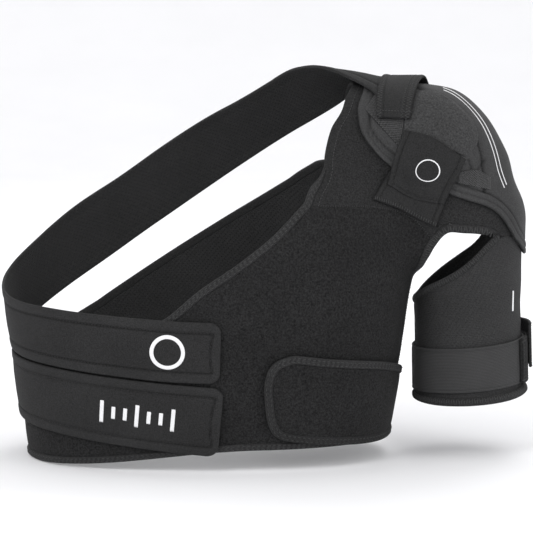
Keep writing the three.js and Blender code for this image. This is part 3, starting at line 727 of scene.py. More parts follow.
LOOP = brushed("loop_cloth", 0.0040, 0.0285, sheen=0.06)
LOOP_FINE = brushed("loop_cloth_fine", 0.0070, 0.0355, 760.0, 0.94, 0.06, 0.45)
STRAP = brushed("strap_cloth", 0.0110, 0.0345, 1050.0, 0.88, 0.06, 0.22)
JERSEY = knitted("jersey", 0.0190, 0.0440, sheen=0.05, holes=2.6)
LINING = knitted("lining", 0.0190, 0.0420, 0.9, 0.05, holes=3.0, shade=0.5)
BINDING = knitted("binding", 0.0170, 0.0420, 0.85, 0.06, rib=0.8, depth=0.2)
CAP_CLOTH = brushed("cap_cloth", 0.0265, 0.0600, 820.0, 0.78, 0.06, 0.2)
TONGUE = brushed("tongue_cloth", 0.0200, 0.0680, 620.0, 0.88, 0.06, 0.35)
ELASTIC = woven("elastic", 0.0240, 0.0660)
NET = plain("net_yarn", 0.045, 0.09, 0.7)
NET_BACK = plain("net_backing", 0.012, 0.02, 0.9)
THREAD = plain("thread", 0.028, 0.054, 0.65, 2500.0)
DARK_THREAD = plain("dark_thread", 0.007, 0.016, 0.7, 2500.0)
PRINT = plain("white_print", 0.74, 0.82, 0.45, 900.0, 0.03)

# Panels
JOIN_S = -TURN_X - TURN * 0.72
FRONT_TOP = [[JOIN_S - GAP, 90], [-225, 92], [-175, 95.3], [-125, 100.4], [-80, 109.6],
             [-35, 125.9], [-1, 153], [29, 173], [59, 196], [88, 225]]
BACK_TOP = [[mirror_s(JOIN_S) - GAP, 88], [-148, 92], [-119, 104], [-85, 126], [-56, 145],
            [-25, 165], [2, 182], [26, 197], [49, 211], [76, 228]]
FRONT_SEAM = [[88, 225], [140, 222], [174, 213], [194.5, 194.5]]
BACK_SEAM = [[76, 228], [125, 226], [169, 215], [194.5, 194.5]]


def hem_z(s):
    x = np.where(s > -WRAP / 2, s, mirror_s(s))
    return HEM_Z + HEM_W + GAP + HEM_RISE * smooth(-160, 45, x)


def arm_edge(z):
    return float(arm_side(z)) + math.pi / 2 * TURN_R - SIDE_GAP / 2


ARM_SIDE = [[arm_edge(0), float(hem_z(150.0))], [arm_edge(60) - 1, 60], [arm_edge(100) - 1, 100],
            [arm_edge(128) - 1, 128], [arm_edge(148) - 15, 148], [182.5, 165], [185.5, 181], [194.5, 194.5]]
SHARE = 0.75


def panel_chart(top, seam):
    edge = chained(path(top), path(seam), SHARE)
    reach = ARM_SIDE[0][0] - seam[-1][0]

    def low(u):
        s = edge(u)[..., 0] + reach * smooth(SHARE, 1, u)
        return np.stack([s, hem_z(s)], -1)

    z0 = float(hem_z(np.array(top[0][0])))
    return patch(low, edge, line([top[0][0], z0], top[0]), path(ARM_SIDE))


def panel(name, chart, place, seed):
    g = surface(body, lambda u, v: place(chart(u, v)), spread(480, 2.3), spread(200, 2.1), 64, 30)
    swell = 0.35 * waves(g.P, 55, seed) + 0.12 * waves(g.P, 19, seed + 1)
    g.tone = 1 + 0.08 * waves(g.P, 70, seed + 3)
    obj = build(name, [solid(g, 0.12 * smooth(0, 12, g.d) * swell, pinched(g, swell))],
                [LOOP, LINING])
    return g


front = panel("front_panel", panel_chart(FRONT_TOP, FRONT_SEAM), on_front, 11)
back = panel("back_panel", panel_chart(BACK_TOP, BACK_SEAM), on_back, 21)

# Yoke over the shoulder
ARMHOLE = [[204.5, 202.5], [218, 207.5], [232, 205.5]]
SEAM_TURN, YOKE_GAP = 63.0, -0.5
YOKE_NECK = [[98, -70, 247], [101, -54, 268], [107.5, -40, 289], [118, -26, 308], [126, 1, 324],
             [122, 30, 315], [119, 50, 296], [117, 66, 273], [110, 78, 253], [94, 88, 240]]


def seam_at(deg):
    return over_of(around_arm(np.asarray(deg, float), SEAM_Z + YOKE_GAP))


def yoke_edge(seam, place, sign):
    def above(q):
        return over_of(place(np.asarray(q, float) + [0, YOKE_GAP]))
    armhole = np.vstack([above([seam[-1], *ARMHOLE]), seam_at([sign * SEAM_TURN])])
    return chained(path(above(path(seam)(np.linspace(0, 1, 9)))), path(armhole), 0.5)


yoke_front = yoke_edge(FRONT_SEAM, on_front, -1)
yoke_back = yoke_edge(BACK_SEAM, on_back, 1)
neck_rows = over_of(settle(body, np.array(YOKE_NECK, float)))
yoke_neck = path(np.vstack([yoke_front(np.zeros(1)), neck_rows, yoke_back(np.zeros(1))]))
yoke_chart = patch(yoke_front, yoke_back, yoke_neck, lambda v: seam_at((2 * np.asarray(v) - 1) * SEAM_TURN))
yoke = surface(shoulder, lambda u, v: over(yoke_chart(u, v)), spread(150, 2.0), spread(230, 2.0), 40, 48)
yoke_obj = build("shoulder_yoke", [solid(yoke, 0.0, pinched(yoke, 0.3 * waves(yoke.P, 45, 31)))],
                 [LOOP_FINE, LINING])


# Binding tapes with their two rows of stitches
STITCH = 4.4
ROWS = (0.27, 0.73)


def rows_at(across, width):
    return dip(across, ROWS[0], width) + dip(across, ROWS[1], width)


def tape(name, g, low=-0.5, high=TAPE + 0.2):
    across = g.v / np.maximum(g.v[-1:], 1e-6)
    beat = np.cos(2 * math.pi * g.u / STITCH)
    pucker = 0.2 * beat * rows_at(across, 0.1)
    # Painted shade: darker along the two sunken stitch rows and at the rounded edges. Along its middle the
    # tape turns lighter and darker in turn at the stitch pitch.
    g.tone = 1.06 - 0.3 * rows_at(across, 0.08) - 0.25 * dip(g.d, 0, 0.8)
    g.tone += 0.34 * beat * dip(across, 0.5, 0.3)
    top = high - 0.3 * rows_at(across, 0.09) + pucker + 0.12 * waves(g.P, 24, 5)
    build(name, [solid(g, low, top, side=2.0)], [BINDING, BINDING])


def tape_rows(g):
    width = float(np.median(g.v[-1]))
    return [run(g, *g.beside(2, width * k), STITCH, 2.6) for k in ROWS]


def overlock(g, length=6.4):
    """One row of long slanting stitches that wraps the tape."""
    width = float(np.median(g.v[-1]))
    return [run(g, *g.beside(2, width * 0.5), 2.3, length, 78.0, zig=True, arch=0.9, sink=0.75, radius=0.34)]


def densely(curve, a=0.0, b=1.0):
    return curve(np.linspace(a, b, 160))


def neck_line(top, place, ends):
    rows = over(yoke_neck(np.linspace(*ends, 14)))
    return np.vstack([place(densely(path(top), 0.006)), rows])


LAP = 1.1


def narrowed(width, share):
    """A tape's far side, coming in to the edge over the last share of its length."""
    return lambda at: width * (1 - 0.85 * smooth(1 - share, 1, at))


neck_front = ribbon(body, neck_line(FRONT_TOP, on_front, (0.03, 2 / 16)), narrowed(2 - BIND_W, 0.06), LAP)
neck_back = ribbon(body, neck_line(BACK_TOP, on_back, (0.97, 13 / 16)), narrowed(BIND_W - 0.5, 0.06), -LAP)
tape("neck_binding_front", neck_front)
tape("neck_binding_back", neck_back)


def arm_line(place, edge):
    return np.vstack([place(densely(path(ARM_SIDE))), over(edge(np.linspace(0.515, 0.985, 70)))])


ARM_BIND = BIND_W - 2
arm_front = ribbon(body, arm_line(on_front, yoke_front), -LAP, narrowed(0.75 + ARM_BIND, 0.06), calm=30)
arm_back = ribbon(body, arm_line(on_back, yoke_back), LAP, narrowed(-0.75 - ARM_BIND, 0.06), calm=30)
tape("armhole_binding_front", arm_front)
tape("armhole_binding_back", arm_back)

HEM_FROM = arm_edge(0)


def hem_chart(u, v):
    s = HEM_FROM + (mirror_s(HEM_FROM) - HEM_FROM) * u
    return on_front(np.stack([s, hem_z(s) + 0.9 - (HEM_W + GAP + 0.9) * (1 - v)], -1))


hem = surface(body, hem_chart, spread(900, 1.5), spread(HEM_W + 1.3, 1.0), 150, 4)
tape("hem_binding", hem)

# Side tab from the back panel under the arm
TAB_END = TURN_X + TURN * 0.8
TAB_TOP = [[72, 97], [105, 91.5], [150, 85], [210, 73.5], [260, 68], [TAB_END, 68]]
TAB_LOW = [[72, 33], [105, 28], [150, 25], [210, 25], [260, 25], [TAB_END, 25]]
TAB_FRONT = [[72, 33], [61, 37], [57, 48], [55, 65], [55, 80], [60, 92], [72, 96]]
tab_chart = patch(path(TAB_LOW), path(TAB_TOP), path(TAB_FRONT), line([TAB_END, 25], [TAB_END, 68]))
tab = surface(body, lambda u, v: on_front(tab_chart(u, v)), spread(290, 2.0), spread(60, 1.8), 48, 20)
tab_lo = OVER - 1.1 * smooth(0.86, 1, tab.u / tab.u[:, -1:])
tab_obj = build("side_tab", [solid(tab, tab_lo, tab_lo + pinched(tab, 0.3 * waves(tab.P, 40, 41), 0.7, 10))],
                [LOOP, LINING])
tab_edge = np.vstack([densely(path(TAB_TOP), 1, 0), densely(path(TAB_FRONT), 0.97, 0.03),
                      densely(path(TAB_LOW))])
tab_tape = ribbon(body, on_front(tab_edge), -LAP, 0.65 + ARM_BIND, calm=14)
tape("side_tab_binding", tab_tape, low=OVER, high=OVER + TAPE)

# Sleeve, its edges and its elastic band
SLEEVE_TOP = np.array([
    [0, SEAM_Z], [SEAM_TURN, SEAM_Z], [75, 176], [100, 159], [125, 144], [150, 133], [180, 131.5],
    [205, 138.5], [225, 146], [245, 153.5], [265, 166], [282, 183], [360 - SEAM_TURN, SEAM_Z], [360, SEAM_Z],
], float)


def sleeve_top(deg):
    d = np.mod(deg, 360)
    near = [np.interp(d + k, SLEEVE_TOP[:, 0], SLEEVE_TOP[:, 1]) for k in (-8, -4, 0, 4, 8)]
    return np.where(np.abs(d - 180) > 180 - SEAM_TURN, SEAM_Z, np.mean(near, axis=0))


def sleeve_hem(deg):
    return SLEEVE_HEM_Z + 3.5 * np.cos(np.radians(deg)) + np.cos(np.radians(2 * deg))


def flared(g):
    """The sleeve's lower edge stands out a little below the band."""
    deg = np.degrees(np.arctan2(g.P[..., 1] - 8, g.P[..., 0] - MID_ARM[0][0]))
    out = 1 - smooth(-6, 5, g.P[..., 2] - sleeve_hem(deg))
    more = 3.4 + 1.6 * np.cos(np.radians(deg)) + 0.5 * np.sin(np.radians(5 * deg))
    return Grid(g.P + g.N * (more * out)[..., None], loop=g.loop, out=g.N)


def sleeve_chart(u, v):
    deg = 360 * u
    z0 = sleeve_hem(deg)
    return around_arm(deg, z0 + (sleeve_top(deg) - z0) * v)


sleeve = surface(arm, sleeve_chart, np.linspace(0, 1, 161), spread(130, 1.9), 80, 16, loop=True)
sleeve = flared(sleeve)
folds = 0.35 * waves(sleeve.P * [1, 1, 2.6], 60, 51) + 0.15 * waves(sleeve.P, 22, 52)
level = sleeve.P[..., 2]
held = dip(level, BAND_Z + BAND_H / 2, BAND_H * 0.55)
sleeve_obj = build("sleeve", [solid(sleeve, 0.0, pinched(sleeve, folds * (1 - held), 0.7, 10))],
                   [JERSEY, LINING])
SLEEVE_BIND = 5.0


def arm_ring(turn_from, turn_to, z_of, low, high):
    def chart(u, v):
        deg = turn_from + (turn_to - turn_from) * u
        return around_arm(deg, z_of(deg) + low + (high - low) * v)
    return chart


sleeve_tape = surface(arm, arm_ring(0, 360, sleeve_hem, -GAP - SLEEVE_BIND, 0.9),
                      np.linspace(0, 1, 221), spread(6.3, 1.0), 80, 4, loop=True)
sleeve_tape = flared(sleeve_tape)
tape("sleeve_hem_binding", sleeve_tape)
OPEN_FROM = SEAM_TURN + 1
open_tape = surface(arm, arm_ring(OPEN_FROM, 360 - OPEN_FROM, sleeve_top, -0.9, 0.8 + SLEEVE_BIND),
                    spread(250, 1.4), spread(6.7, 1.0), 96, 4)
tape("sleeve_opening_binding", open_tape, high=NEOPRENE + 0.5)

band_lo = NEOPRENE + 0.5


def band_low_edge(deg):
    return BAND_Z + BAND_TILT * np.cos(np.radians(deg))


band = surface(arm, arm_ring(0, 360, band_low_edge, 0, BAND_H), np.linspace(0, 1, 221),
               spread(BAND_H, 1.3), 80, 6, loop=True)
slack = 0.2 * waves(band.P, 30, 61) - 0.35 * dip(band.d, 2.2, 0.7)
# Painted shade: darker in the sunken line 2.2 mm in from the band's edges.
band.tone = 1 - 0.3 * dip(band.d, 2.2, 0.5)
band_obj = build("arm_band", [solid(band, band_lo, band_lo + WEB + slack, side=0.8)], [ELASTIC, ELASTIC])
loop_lo = band_lo + WEB + GAP
loop_part = surface(arm, arm_ring(-34, 60, band_low_edge, -1, BAND_H + 1), spread(72, 1.5),
                    spread(BAND_H + 2, 1.5), 32, 8)
build("arm_band_loop", [solid(loop_part, loop_lo, loop_lo + 3 - 0.8 * dip(loop_part.d, 3.5, 0.9)
                              + 0.25 * waves(loop_part.P, 26, 62))],
      [LOOP, LINING])
hook_part = surface(arm, arm_ring(-14, 44, band_low_edge, 11, BAND_H + 12), spread(52, 1.4),
                    spread(BAND_H + 1, 1.4), 24, 8)
hook_lo = loop_lo + 3 + GAP
build("arm_band_tab", [solid(hook_part, hook_lo, hook_lo + 2.8 - 0.6 * dip(hook_part.d, 3.0, 0.8))],
      [STRAP, LINING])

# Shoulder cap
CAP_FRONT = [[107, -27], [91, -33.5], [76, -37.5], [62, -37], [48, -33], [34, -28.5], [24, -23.5]]
CAP_NECK = [[107, -27], [112, -23.5], [114.5, -19], [113, -14], [109, -7], [108, 0]]
CAP_RIM_LINE = [[24, -23.5], [16, -15], [11.5, -7], [10, 0]]


def mirrored(rows):
    return rows + [[a, -b] for a, b in rows[-2::-1]]


cap_chart = patch(path(CAP_FRONT), path([[a, -b] for a, b in CAP_FRONT]),
                  path(mirrored(CAP_NECK)), path(mirrored(CAP_RIM_LINE)))
cap = surface(shoulder, lambda u, v: over(cap_chart(u, v)), spread(210, 1.5), spread(190, 1.5), 56, 56)
CAP_SEAM = [[99, 0], [92, -6], [85, -12], [80, -15], [75, -18.5], [70, -20.5], [67, -22],
            [63, -25], [59, -27.5], [56.5, -31], [54, -36]]
cap_seam = over(path(CAP_SEAM)(np.linspace(0, 1, 40)))
cap_seam_back = cap_seam * [1, -1, 1] + [0, 16, 0]
seam_away = np.minimum(near_line(cap.P, cap_seam), near_line(cap.P, cap_seam_back))
cap_uv = over_of(cap.P)
on_neck = smooth(84, 92, cap_uv[..., 0])
around = np.vstack([cap.P[0, ::3], cap.P[::3, -1], cap.P[-1, ::-3], cap.P[::-3, 0], cap.P[:1, 0]])
border = near_line(cap.P, around)
seam_away = seam_away + 20 * (1 - smooth(6, 11, border))
wide_band = 10.5
rim_top = CAP_HI + (CAP_RIM - CAP_HI) * (1 - smooth(wide_band - 1.5, wide_band + 0.5, border))
ridges = 1.15 * dip(border, wide_band, 1.1) + 0.6 * dip(border, 5.0, 0.9)
ridges += on_neck * 0.35 * dip(border, 7.8, 0.6)
crease = facing(np.array([[222, 261], [226, 249], [235, 260]]))
crown = (1 - smooth(0, 24, seam_away)) * smooth(1.0, 6, seam_away)
cap_top = rim_top - ridges - 1.3 * dip(seam_away, 0, 1.2) + 0.8 * crown + 0.16 * waves(cap.P, 34, 71)
cap_top -= 0.9 * dip(near_line(cap.P, crease), 0, 1.3)
# Painted shade: darker in the grooves of the border band, in the seam groove with a soft gradient beside it,
# along the outer edge and in the crease.
cap.tone = 1 - 0.55 * dip(border, wide_band, 0.9) - 0.35 * dip(border, 5.0, 0.7)
cap.tone -= on_neck * 0.3 * dip(border, 7.8, 0.5) + 0.6 * dip(seam_away, 0, 1.0)
cap.tone -= 0.16 * dip(seam_away, 0, 6.0) + 0.35 * dip(cap.d, 0, 1.2)
cap.tone = np.clip(cap.tone - 0.5 * dip(near_line(cap.P, crease), 0, 1.1), 0.25, 1)
cap_obj = build("shoulder_cap", [solid(cap, CAP_LO, cap_top)], [CAP_CLOTH, LINING])


def front_piece(low, high, length, width, step=1.0, last=None):
    """A piece on the front of the cap, between two lines seen from the front."""
    a, b = path(low), path(high)
    chart = patch(a, b, line(low[0], high[0]), last or line(low[-1], high[-1]))
    us, vs = spread(length, step), spread(width, step)
    return surface(shoulder, lambda u, v: facing(chart(u, v)), us, vs, 14, 10)


def net(name, g, lo):
    """An open knit: a dark backing with crossing yarns."""
    parts = [solid(g, lo - 0.3, lo + 0.2, side=0.4, lined=False)]
    parts[0]["slot"] = parts[0]["slot"] * 0 + 1
    m, n = g.d.shape
    long, wide = float(g.u.max()), float(g.v.max())
    u = np.linspace(0, long, 60)
    for sign in (1, -1):
        for k in np.arange(-long - wide, long + wide, 1.7):
            v = sign * u * 0.75 + k
            keep = (v > 0.4) & (v < wide - 0.4)
            if keep.sum() >= 4:
                cols = np.interp(u[keep], g.u[m // 2], np.arange(n))
                rows = np.interp(v[keep], g.v[:, n // 2], np.arange(m))
                parts.append(run(g, cols, rows, 1.35, 1.5, radius=0.26, arch=0.12, sink=-0.05))
    build(name, parts, [NET, NET_BACK])


net("cap_mesh_inner", front_piece([[136, 300], [149, 289], [167, 272]], [[145, 311], [160, 305], [171, 294]],
                                  38, 20), ON_CAP + 0.2)
net("cap_mesh_outer", front_piece([[214, 242], [226, 238], [240, 234]], [[214, 252], [228, 253], [240, 245]],
                                  24, 14), ON_CAP)
tongue = front_piece([[171, 282], [192, 276], [219, 264]], [[172, 307], [190, 313], [211, 306]], 52, 38, 1.1,
                     last=path([[219, 264], [229, 275], [226, 290], [211, 306]]))
thin = 1.7 * (1 - smooth(0, 9, tongue.away[1]))
build("cap_tongue", [solid(tongue, ON_CAP, CAP_HI + 0.9 + TONGUE_T - thin - 0.4 * (1 - smooth(0, 5, tongue.d))
                           + 0.4 * waves(tongue.P, 30, 75) * smooth(2, 10, tongue.d))],
      [TONGUE, TONGUE])

# Front tab and the patch sewn under it
patch_g = front_piece([[139, 227], [167, 217], [197, 205]], [[157, 252], [180, 240], [207, 232]], 66, 30)
hem_in = np.minimum.reduce([patch_g.away[0], patch_g.away[1]])
patch_top = PATCH_LO + WEB - 0.5 * dip(hem_in, 4.4, 0.7) - 0.4 * np.exp(-patch_g.d / 1.6)
# Painted shade: darker in the sunken hem line and at the edges.
patch_g.tone = np.clip(1 - 0.45 * dip(hem_in, 4.4, 0.6) - 0.35 * dip(patch_g.d, 0, 0.9), 0.4, 1)
patch_obj = build("tab_patch", [solid(patch_g, PATCH_LO, patch_top + 0.2 * waves(patch_g.P, 20, 81))],
                  [STRAP, STRAP])
ftab = front_piece([[152, 239], [176, 229], [204, 224.5]], [[172, 284], [193, 279], [218, 262]], 60, 44)
v_share = ftab.v / np.maximum(ftab.v[-1:], 1e-6)
rise = PATCH_LO + WEB + 0.45 + (ON_TONGUE - PATCH_LO - WEB - 0.25) * smooth(0, 0.55, v_share)
sides = np.minimum(ftab.away[0], ftab.away[1])
ftab_top = rise + WEB - 0.45 * dip(sides, 5.0, 0.7) + 0.25 * waves(ftab.P, 22, 83)
ftab_top -= 1.2 * (1 - smooth(0, 6, ftab.v))
ftab_rim = np.minimum(sides, ftab.away[3])
# Painted shade: darker in the sunken hem line along the sides and at the edges.
ftab.tone = np.clip(1 - 0.45 * dip(sides, 5.0, 0.6) - 0.35 * dip(ftab_rim, 0, 0.9), 0.4, 1)
ftab_obj = build("front_tab", [solid(ftab, rise, ftab_top)], [STRAP, STRAP])

# Straps
UPPER_STRAP = np.array([
    [13, -121, 103.8, STRAP_W, OVER], [-30, -120, 105.5, STRAP_W, OVER],
    [-75, -113, 109.2, STRAP_W - 1, OVER], [-130, -90, 114, STRAP_W - 2, OVER],
    [-166, -45, 119, STRAP_W - 2, OVER], [-176, 0, 125.5, STRAP_W, OVER],
    [-168, 45, 137, STRAP_BACK_W - 7, OVER], [-146, 80, 156.5, STRAP_BACK_W - 6, OVER],
    [-110, 102, 184, STRAP_BACK_W - 2, OVER], [-68, 109, 212, STRAP_BACK_W - 4, OVER],
    [-30, 106, 238.5, STRAP_BACK_W - 3, OVER], [15, 94, 268.5, STRAP_BACK_W - 3, OVER],
    [60, 74, 296, STRAP_BACK_W - 6, OVER], [97, 48, 316, STRAP_BACK_W - 5, OVER + 2.5],
    [126, 22, 327, STRAP_BACK_W - 11, ON_TONGUE], [150, 0, 326, STRAP_BACK_W - 20, ON_TONGUE],
    [162, -14, 320, STRAP_BACK_W - 23, ON_TONGUE],
], float)
LOWER_STRAP = np.array([
    [13, -112, 43.8, STRAP_END_W + 3, OVER], [-30, -112, 47.8, STRAP_END_W + 2, OVER],
    [-75, -106, 52.6, STRAP_END_W + 1, OVER], [-125, -84, 58.5, STRAP_END_W, OVER],
    [-158, -42, 63.5, STRAP_END_W - 1, OVER], [-166, 0, 67, STRAP_END_W - 3, OVER],
    [-155, 45, 66, STRAP_END_W - 8, OVER], [-125, 84, 63, STRAP_END_W - 9, OVER],
    [-90, 101, 60, STRAP_END_W - 10, OVER],
], float)
END_ROUND = 10.0


def strap(rows, seed, sewn=0.0, step=1.7):
    """A long strap along rows of place, width and lift, with one round end."""
    track = path(np.hstack([np.arange(len(rows))[:, None] * 30.0, rows]))
    t = np.linspace(0, 1, 900)
    raw = track(t)[:, 1:]
    centre = settle(body, raw[:, :3])
    s = lengths(centre)
    total = s[-1]
    near = np.array([0, 0.15, 0.4, 0.8, 1.3, 2, 2.8, 3.8, 5, 6.4, 8, 10])
    count = int((total - 12.6) / step)
    even = np.linspace(10, total - 2.6, count)[1:]
    at = np.concatenate([near, even, total - np.array([1.6, 1.0, 0.55, 0.2, 0])])
    p = read(at, s, centre)
    for _ in range(3):
        p[12:-6] = calmed(p[11:-5])
    wide = np.interp(at, s, raw[:, 3])
    lift = np.interp(at, s, raw[:, 4]) - sewn * smooth(total - 34, total - 4, at)
    side = unit(np.cross(unit(np.gradient(p, at, axis=0)), unit(slope(body, p))))
    d = np.minimum(at, END_ROUND)
    half = wide / 2 - (END_ROUND - np.sqrt(END_ROUND**2 - (END_ROUND - d) ** 2)) * 0.9
    vs = spread(wide.mean(), 1.7)
    places = settle(body, p + side * ((2 * vs[:, None] - 1) * half)[..., None])
    g = Grid(places, body)
    across = np.minimum(g.away[2], g.away[3])
    rim = np.minimum(across, g.away[0])
    bulge = 0.4 * smooth(9, 22, rim) * smooth(0, 30, g.away[1]) + 0.3 * dip(rim, 5.0, 3.0)
    hem_line = 1.0 * dip(rim, 8.8, 1.0)
    top = lift + WEB + 0.25 - hem_line + bulge + 0.22 * waves(g.P, 46, seed) * smooth(0, 8, rim)
    low = lift - 0.25 + 0.6 * dip(rim, 8.8, 1.0)
    # Painted shade: darker in the sunken hem line 8.8 mm in and at the rounded edge; a little paler outside
    # the hem line than inside it.
    g.tone = 1.1 - 0.1 * smooth(7, 10, rim) - 0.55 * dip(rim, 8.8, 0.8) - 0.2 * dip(rim, 0, 0.9)
    return g, solid(g, low, top, side=1.3)


upper, upper_part = strap(UPPER_STRAP, 91)
upper_obj = build("upper_strap", [upper_part], [STRAP, LINING])
lower, lower_part = strap(LOWER_STRAP, 95, sewn=1.1)
lower_obj = build("lower_strap", [lower_part], [STRAP, LINING])

# Keeper strap over the end of the upper strap
keeper_chart = patch(line([107, -16], [95, -20]), line([99.5, 14], [86.5, 12]),
                     line([107, -16], [99.5, 14]), line([95, -20], [86.5, 12]))
keeper = surface(shoulder, lambda u, v: over(keeper_chart(u, v)), spread(38, 1.1), spread(92, 1.3), 16, 30)
along = keeper.v / keeper.v[-1:]
keeper_lo = ON_TONGUE + WEB + GAP - 2.2 * (1 - smooth(0, 0.16, along)) - 4.8 * smooth(0.66, 0.93, along)
keeper_sides = np.minimum(keeper.away[0], keeper.away[1])
keeper_top = keeper_lo + WEB - 0.35 * dip(keeper_sides, 7.0, 0.8) - 0.2 * np.exp(-keeper_sides / 2)
# Painted shade: darker in the sunken line 7 mm in from the sides and at the edges.
keeper.tone = 1 - 0.4 * dip(keeper_sides, 7.0, 0.6) - 0.3 * dip(keeper.d, 0, 0.9)
keeper_obj = build("keeper_strap", [solid(keeper, keeper_lo, keeper_top + 0.15 * waves(keeper.P, 26, 97))],
                   [STRAP, STRAP])

# Stitching
build("tape_stitches", [row for g in (neck_front, neck_back, hem, tab_tape) for row in tape_rows(g)],
      [THREAD], False)
build("overlock_stitches", overlock(arm_front) + overlock(arm_back) + overlock(sleeve_tape, length=5.2)
      + overlock(open_tape, length=5.6), [THREAD], False)
seam_runs = [run(g, *g.beside(3, 0.0, (SHARE, 1)), 2.2, 3.4, 62, zig=True, arch=0.4, sink=0.1, lift=0.9,
                 radius=0.24) for g in (front, back)]
seam_runs.append(run(front, *front.beside(0, 0.0), 2.6, 4.6, 62, zig=True, arch=0.5, sink=0.1, lift=0.9))
build("seam_stitches", seam_runs, [THREAD], False)


def beside(g, sides, mm, pitch=3.0, length=2.2, skew=0.0, **more):
    """Rows of stitches mm inside some sides of a grid."""
    return [run(g, *g.beside(side, mm), pitch, length, skew, **more) for side in sides]


def clear_of(g, side, mm, others, least):
    """A row mm inside one side that stops short of others."""
    return run(g, *g.beside(side, mm, clear=[(other, least) for other in others]), 3.0, 2.2)


HEM = 8.8
strap_runs = []
for g in (upper, lower):
    strap_runs += [clear_of(g, side, HEM, others, HEM) for side, others in ((2, [0]), (3, [0]), (0, [2, 3]))]
strap_runs += [clear_of(upper, 0, 87, [2, 3], 9), clear_of(lower, 0, 114, [2, 3], 9)]
strap_runs += beside(lower, [1], 3.5) + beside(lower, [1], 15) + beside(tab, [1], 4) + beside(tab, [1], 16)
build("strap_stitches", strap_runs, [DARK_THREAD], False)


def line_on(g, a, b):
    """Stitches on a straight line between two shares of a grid."""
    m, n = g.d.shape
    us, vs = g.u[m // 2] / g.u[m // 2, -1], g.v[:, n // 2] / g.v[-1, n // 2]
    t = np.linspace(0, 1, 40)
    cols = np.interp(a[0] + (b[0] - a[0]) * t, us, np.arange(n))
    rows = np.interp(a[1] + (b[1] - a[1]) * t, vs, np.arange(m))
    return run(g, cols, rows, 2.9, 2.2)


box = [line_on(patch_g, (0.55, 0.6), (0.74, 0.12)), line_on(patch_g, (0.06, 0.55), (0.5, 0.1)),
       line_on(ftab, (0.06, 0.07), (0.94, 0.07)), line_on(ftab, (0.12, 0.5), (0.5, 0.09))]
build("tab_stitches", box + beside(ftab, (0, 1), 4.6, 2.9) + beside(patch_g, (0, 1), 4.4, 2.9),
      [DARK_THREAD], False)
fine = {"zig": True, "arch": 0.3, "sink": 0.12, "radius": 0.22}
loose = beside(patch_g, [2], 2.4, 2.3, 3.2, 84, arch=0.5, sink=0.2)
loose += beside(keeper, (0, 1), 3.0, 1.5, 4.4, 70, **fine) + beside(keeper, [1], 7.4, 1.5, 3.6, 66, **fine)
build("edge_stitches", loose + beside(keeper, [2], 5.0, 2.6, 1.8), [THREAD], False)
small = beside(yoke, [0], 7.0, 3.2) + beside(hook_part, (2, 3, 0), 3.0, 2.8, 2)
build("fine_stitches", small + beside(loop_part, (0, 2, 3), 3.5, 2.8, 2), [THREAD], False)


# Plain white prints: a ring, a row of fit marks, a thin ring and two lines along the cap
def printed(g, along, across, loop=False):
    """A thin film on a grid, from lengths along it and across from its middle."""
    m, n = g.d.shape
    j = m // 2
    cols = np.interp(along, g.u[j], np.arange(n))
    middle = np.interp(cols, np.arange(n), g.v[-1] / 2)
    near = np.clip(np.round(cols).astype(int), 0, n - 1)
    rows = np.empty(cols.shape)
    for k in np.unique(near):
        here = near == k
        rows[here] = np.interp((across + middle)[here], g.v[:, k], np.arange(m))
    p, out = g.at(cols, rows)
    return solid(Grid(p, loop=loop, out=out), -0.2, 0.16, side=0.25, lined=False)


def ring(g, at, r, width):
    a = np.linspace(0, 2 * math.pi, 97)
    rr = r + width * np.array([-0.5, -0.4, -0.2, 0, 0.2, 0.4, 0.5])[:, None]
    return printed(g, at[0] + rr * np.cos(a), at[1] + rr * np.sin(a), loop=True)


def bar(g, along, across, long, wide):
    s = np.linspace(-0.5, 0.5, 13)
    t = np.array([-0.5, -0.42, -0.2, 0, 0.2, 0.42, 0.5])
    return printed(g, along + wide * t[:, None] + 0 * s, across + long * s + 0 * t[:, None])


marks = [bar(lower, 40 + 10 * k, -1.0, 20 if k % 3 == 0 else 11, 3.4) for k in range(7)]
build("strap_marks", [ring(upper, (44, 0), 13.0, 3.4)] + marks, [PRINT], False)
build("tab_mark", [ring(ftab, (30, 2.0), 9.0, 0.9)], [PRINT], False)


def stripe(form, points, width, low, high):
    g = ribbon(form, points, -width / 2, width / 2, 1.2, np.array([0, 0.12, 0.35, 0.65, 0.88, 1]), 4)
    return solid(g, low, high, side=0.3, lined=False)


STRIPE = [[84, -6], [77, -10.5], [70, -13.5], [63, -16], [56, -18.5], [49, -20]]
lines = []
for shift in (0.0, 2.6):
    q = np.array(STRIPE) + [0, shift]
    lines.append(stripe(shoulder, over(path(q)(np.linspace(0, 1, 80))), 0.9, CAP_HI - 0.2, CAP_HI + 0.55))
mark = around_arm(np.full(30, -42.0), np.linspace(128, 146, 30))
lines.append(stripe(arm, mark, 2.2, NEOPRENE - 0.2, NEOPRENE + 0.4))
build("cap_lines", lines, [PRINT], False)

# Floor, light and camera
floor_z = float(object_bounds()[0].z) - 0.0005


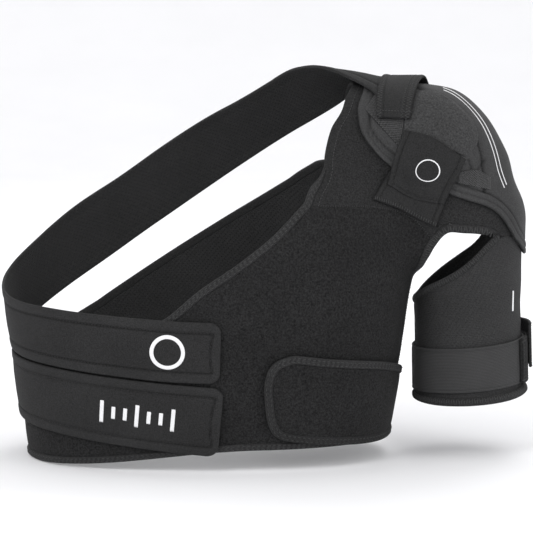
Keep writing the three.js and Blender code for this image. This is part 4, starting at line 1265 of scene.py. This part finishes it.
def backdrop():
    """A pale sweep: flat under the part, curving up far behind it."""
    a = np.linspace(0, math.pi / 2, 17)
    run_y = np.concatenate([[-4.0, -2.0, 0, 2.0], 3.0 + 1.5 * np.sin(a), [4.5]])
    run_z = np.concatenate([[0, 0, 0, 0], 1.5 * (1 - np.cos(a)), [5.0]])
    x = np.linspace(-6, 6, 13)
    verts = [(float(b), float(y), floor_z + float(z)) for y, z in zip(run_y, run_z) for b in x]
    n = len(x)
    faces = [(r * n + c, r * n + c + 1, (r + 1) * n + c + 1, (r + 1) * n + c)
             for r in range(len(run_y) - 1) for c in range(n - 1)]
    mesh = bpy.data.meshes.new("floor")
    mesh.from_pydata(verts, [], faces)
    mesh.polygons.foreach_set("use_smooth", np.full(len(faces), True))
    mesh.materials.append(plain("pale_floor", 0.9, 0.92, 0.9, 6.0, 0.0, toned=False))
    added("floor", mesh)


backdrop()


def aimed(name, data, at, way):
    """A lamp or the camera, looking along a way."""
    obj = added(name, data)
    obj.location = at
    obj.rotation_mode = "QUATERNION"
    obj.rotation_quaternion = way.to_track_quat("-Z", "Y")
    return obj


for name, at, size, power in (("key", (-1.6, -2.0, 1.7), 1.6, 29), ("fill", (2.2, -1.6, 0.7), 2.0, 16),
                              ("rim", (0.6, 1.7, 1.8), 1.4, 17)):
    data = bpy.data.lights.new(name, "AREA")
    data.shape, data.size, data.energy = "DISK", size, power
    aimed(name, data, at, Vector((-0.08, 0.0, -0.15)) - Vector(at))
bpy.context.scene.view_settings.view_transform = "Standard"
world = bpy.data.worlds.new("studio")
bpy.context.scene.world = world
world.use_nodes = True
world.node_tree.nodes["Background"].inputs[0].default_value = (1, 1, 1, 1)
world.node_tree.nodes["Background"].inputs[1].default_value = 0.98

FRAME = 533
ELEVATION, DISTANCE, FOCUS = math.radians(6.5), 2.3, 2300 / 0.88
target = Vector((51.48 - SEAT[0], -SEAT[1], 164.3 - SEAT[2])) / 1000
away = Vector((0, -math.cos(ELEVATION), math.sin(ELEVATION)))
camera = aimed("camera", bpy.data.cameras.new("camera"), target + away * DISTANCE, -away)
bpy.context.scene.camera = camera
camera.data.sensor_width = 36
camera.data.lens = 36 * FOCUS / FRAME
camera.data.clip_end = 50
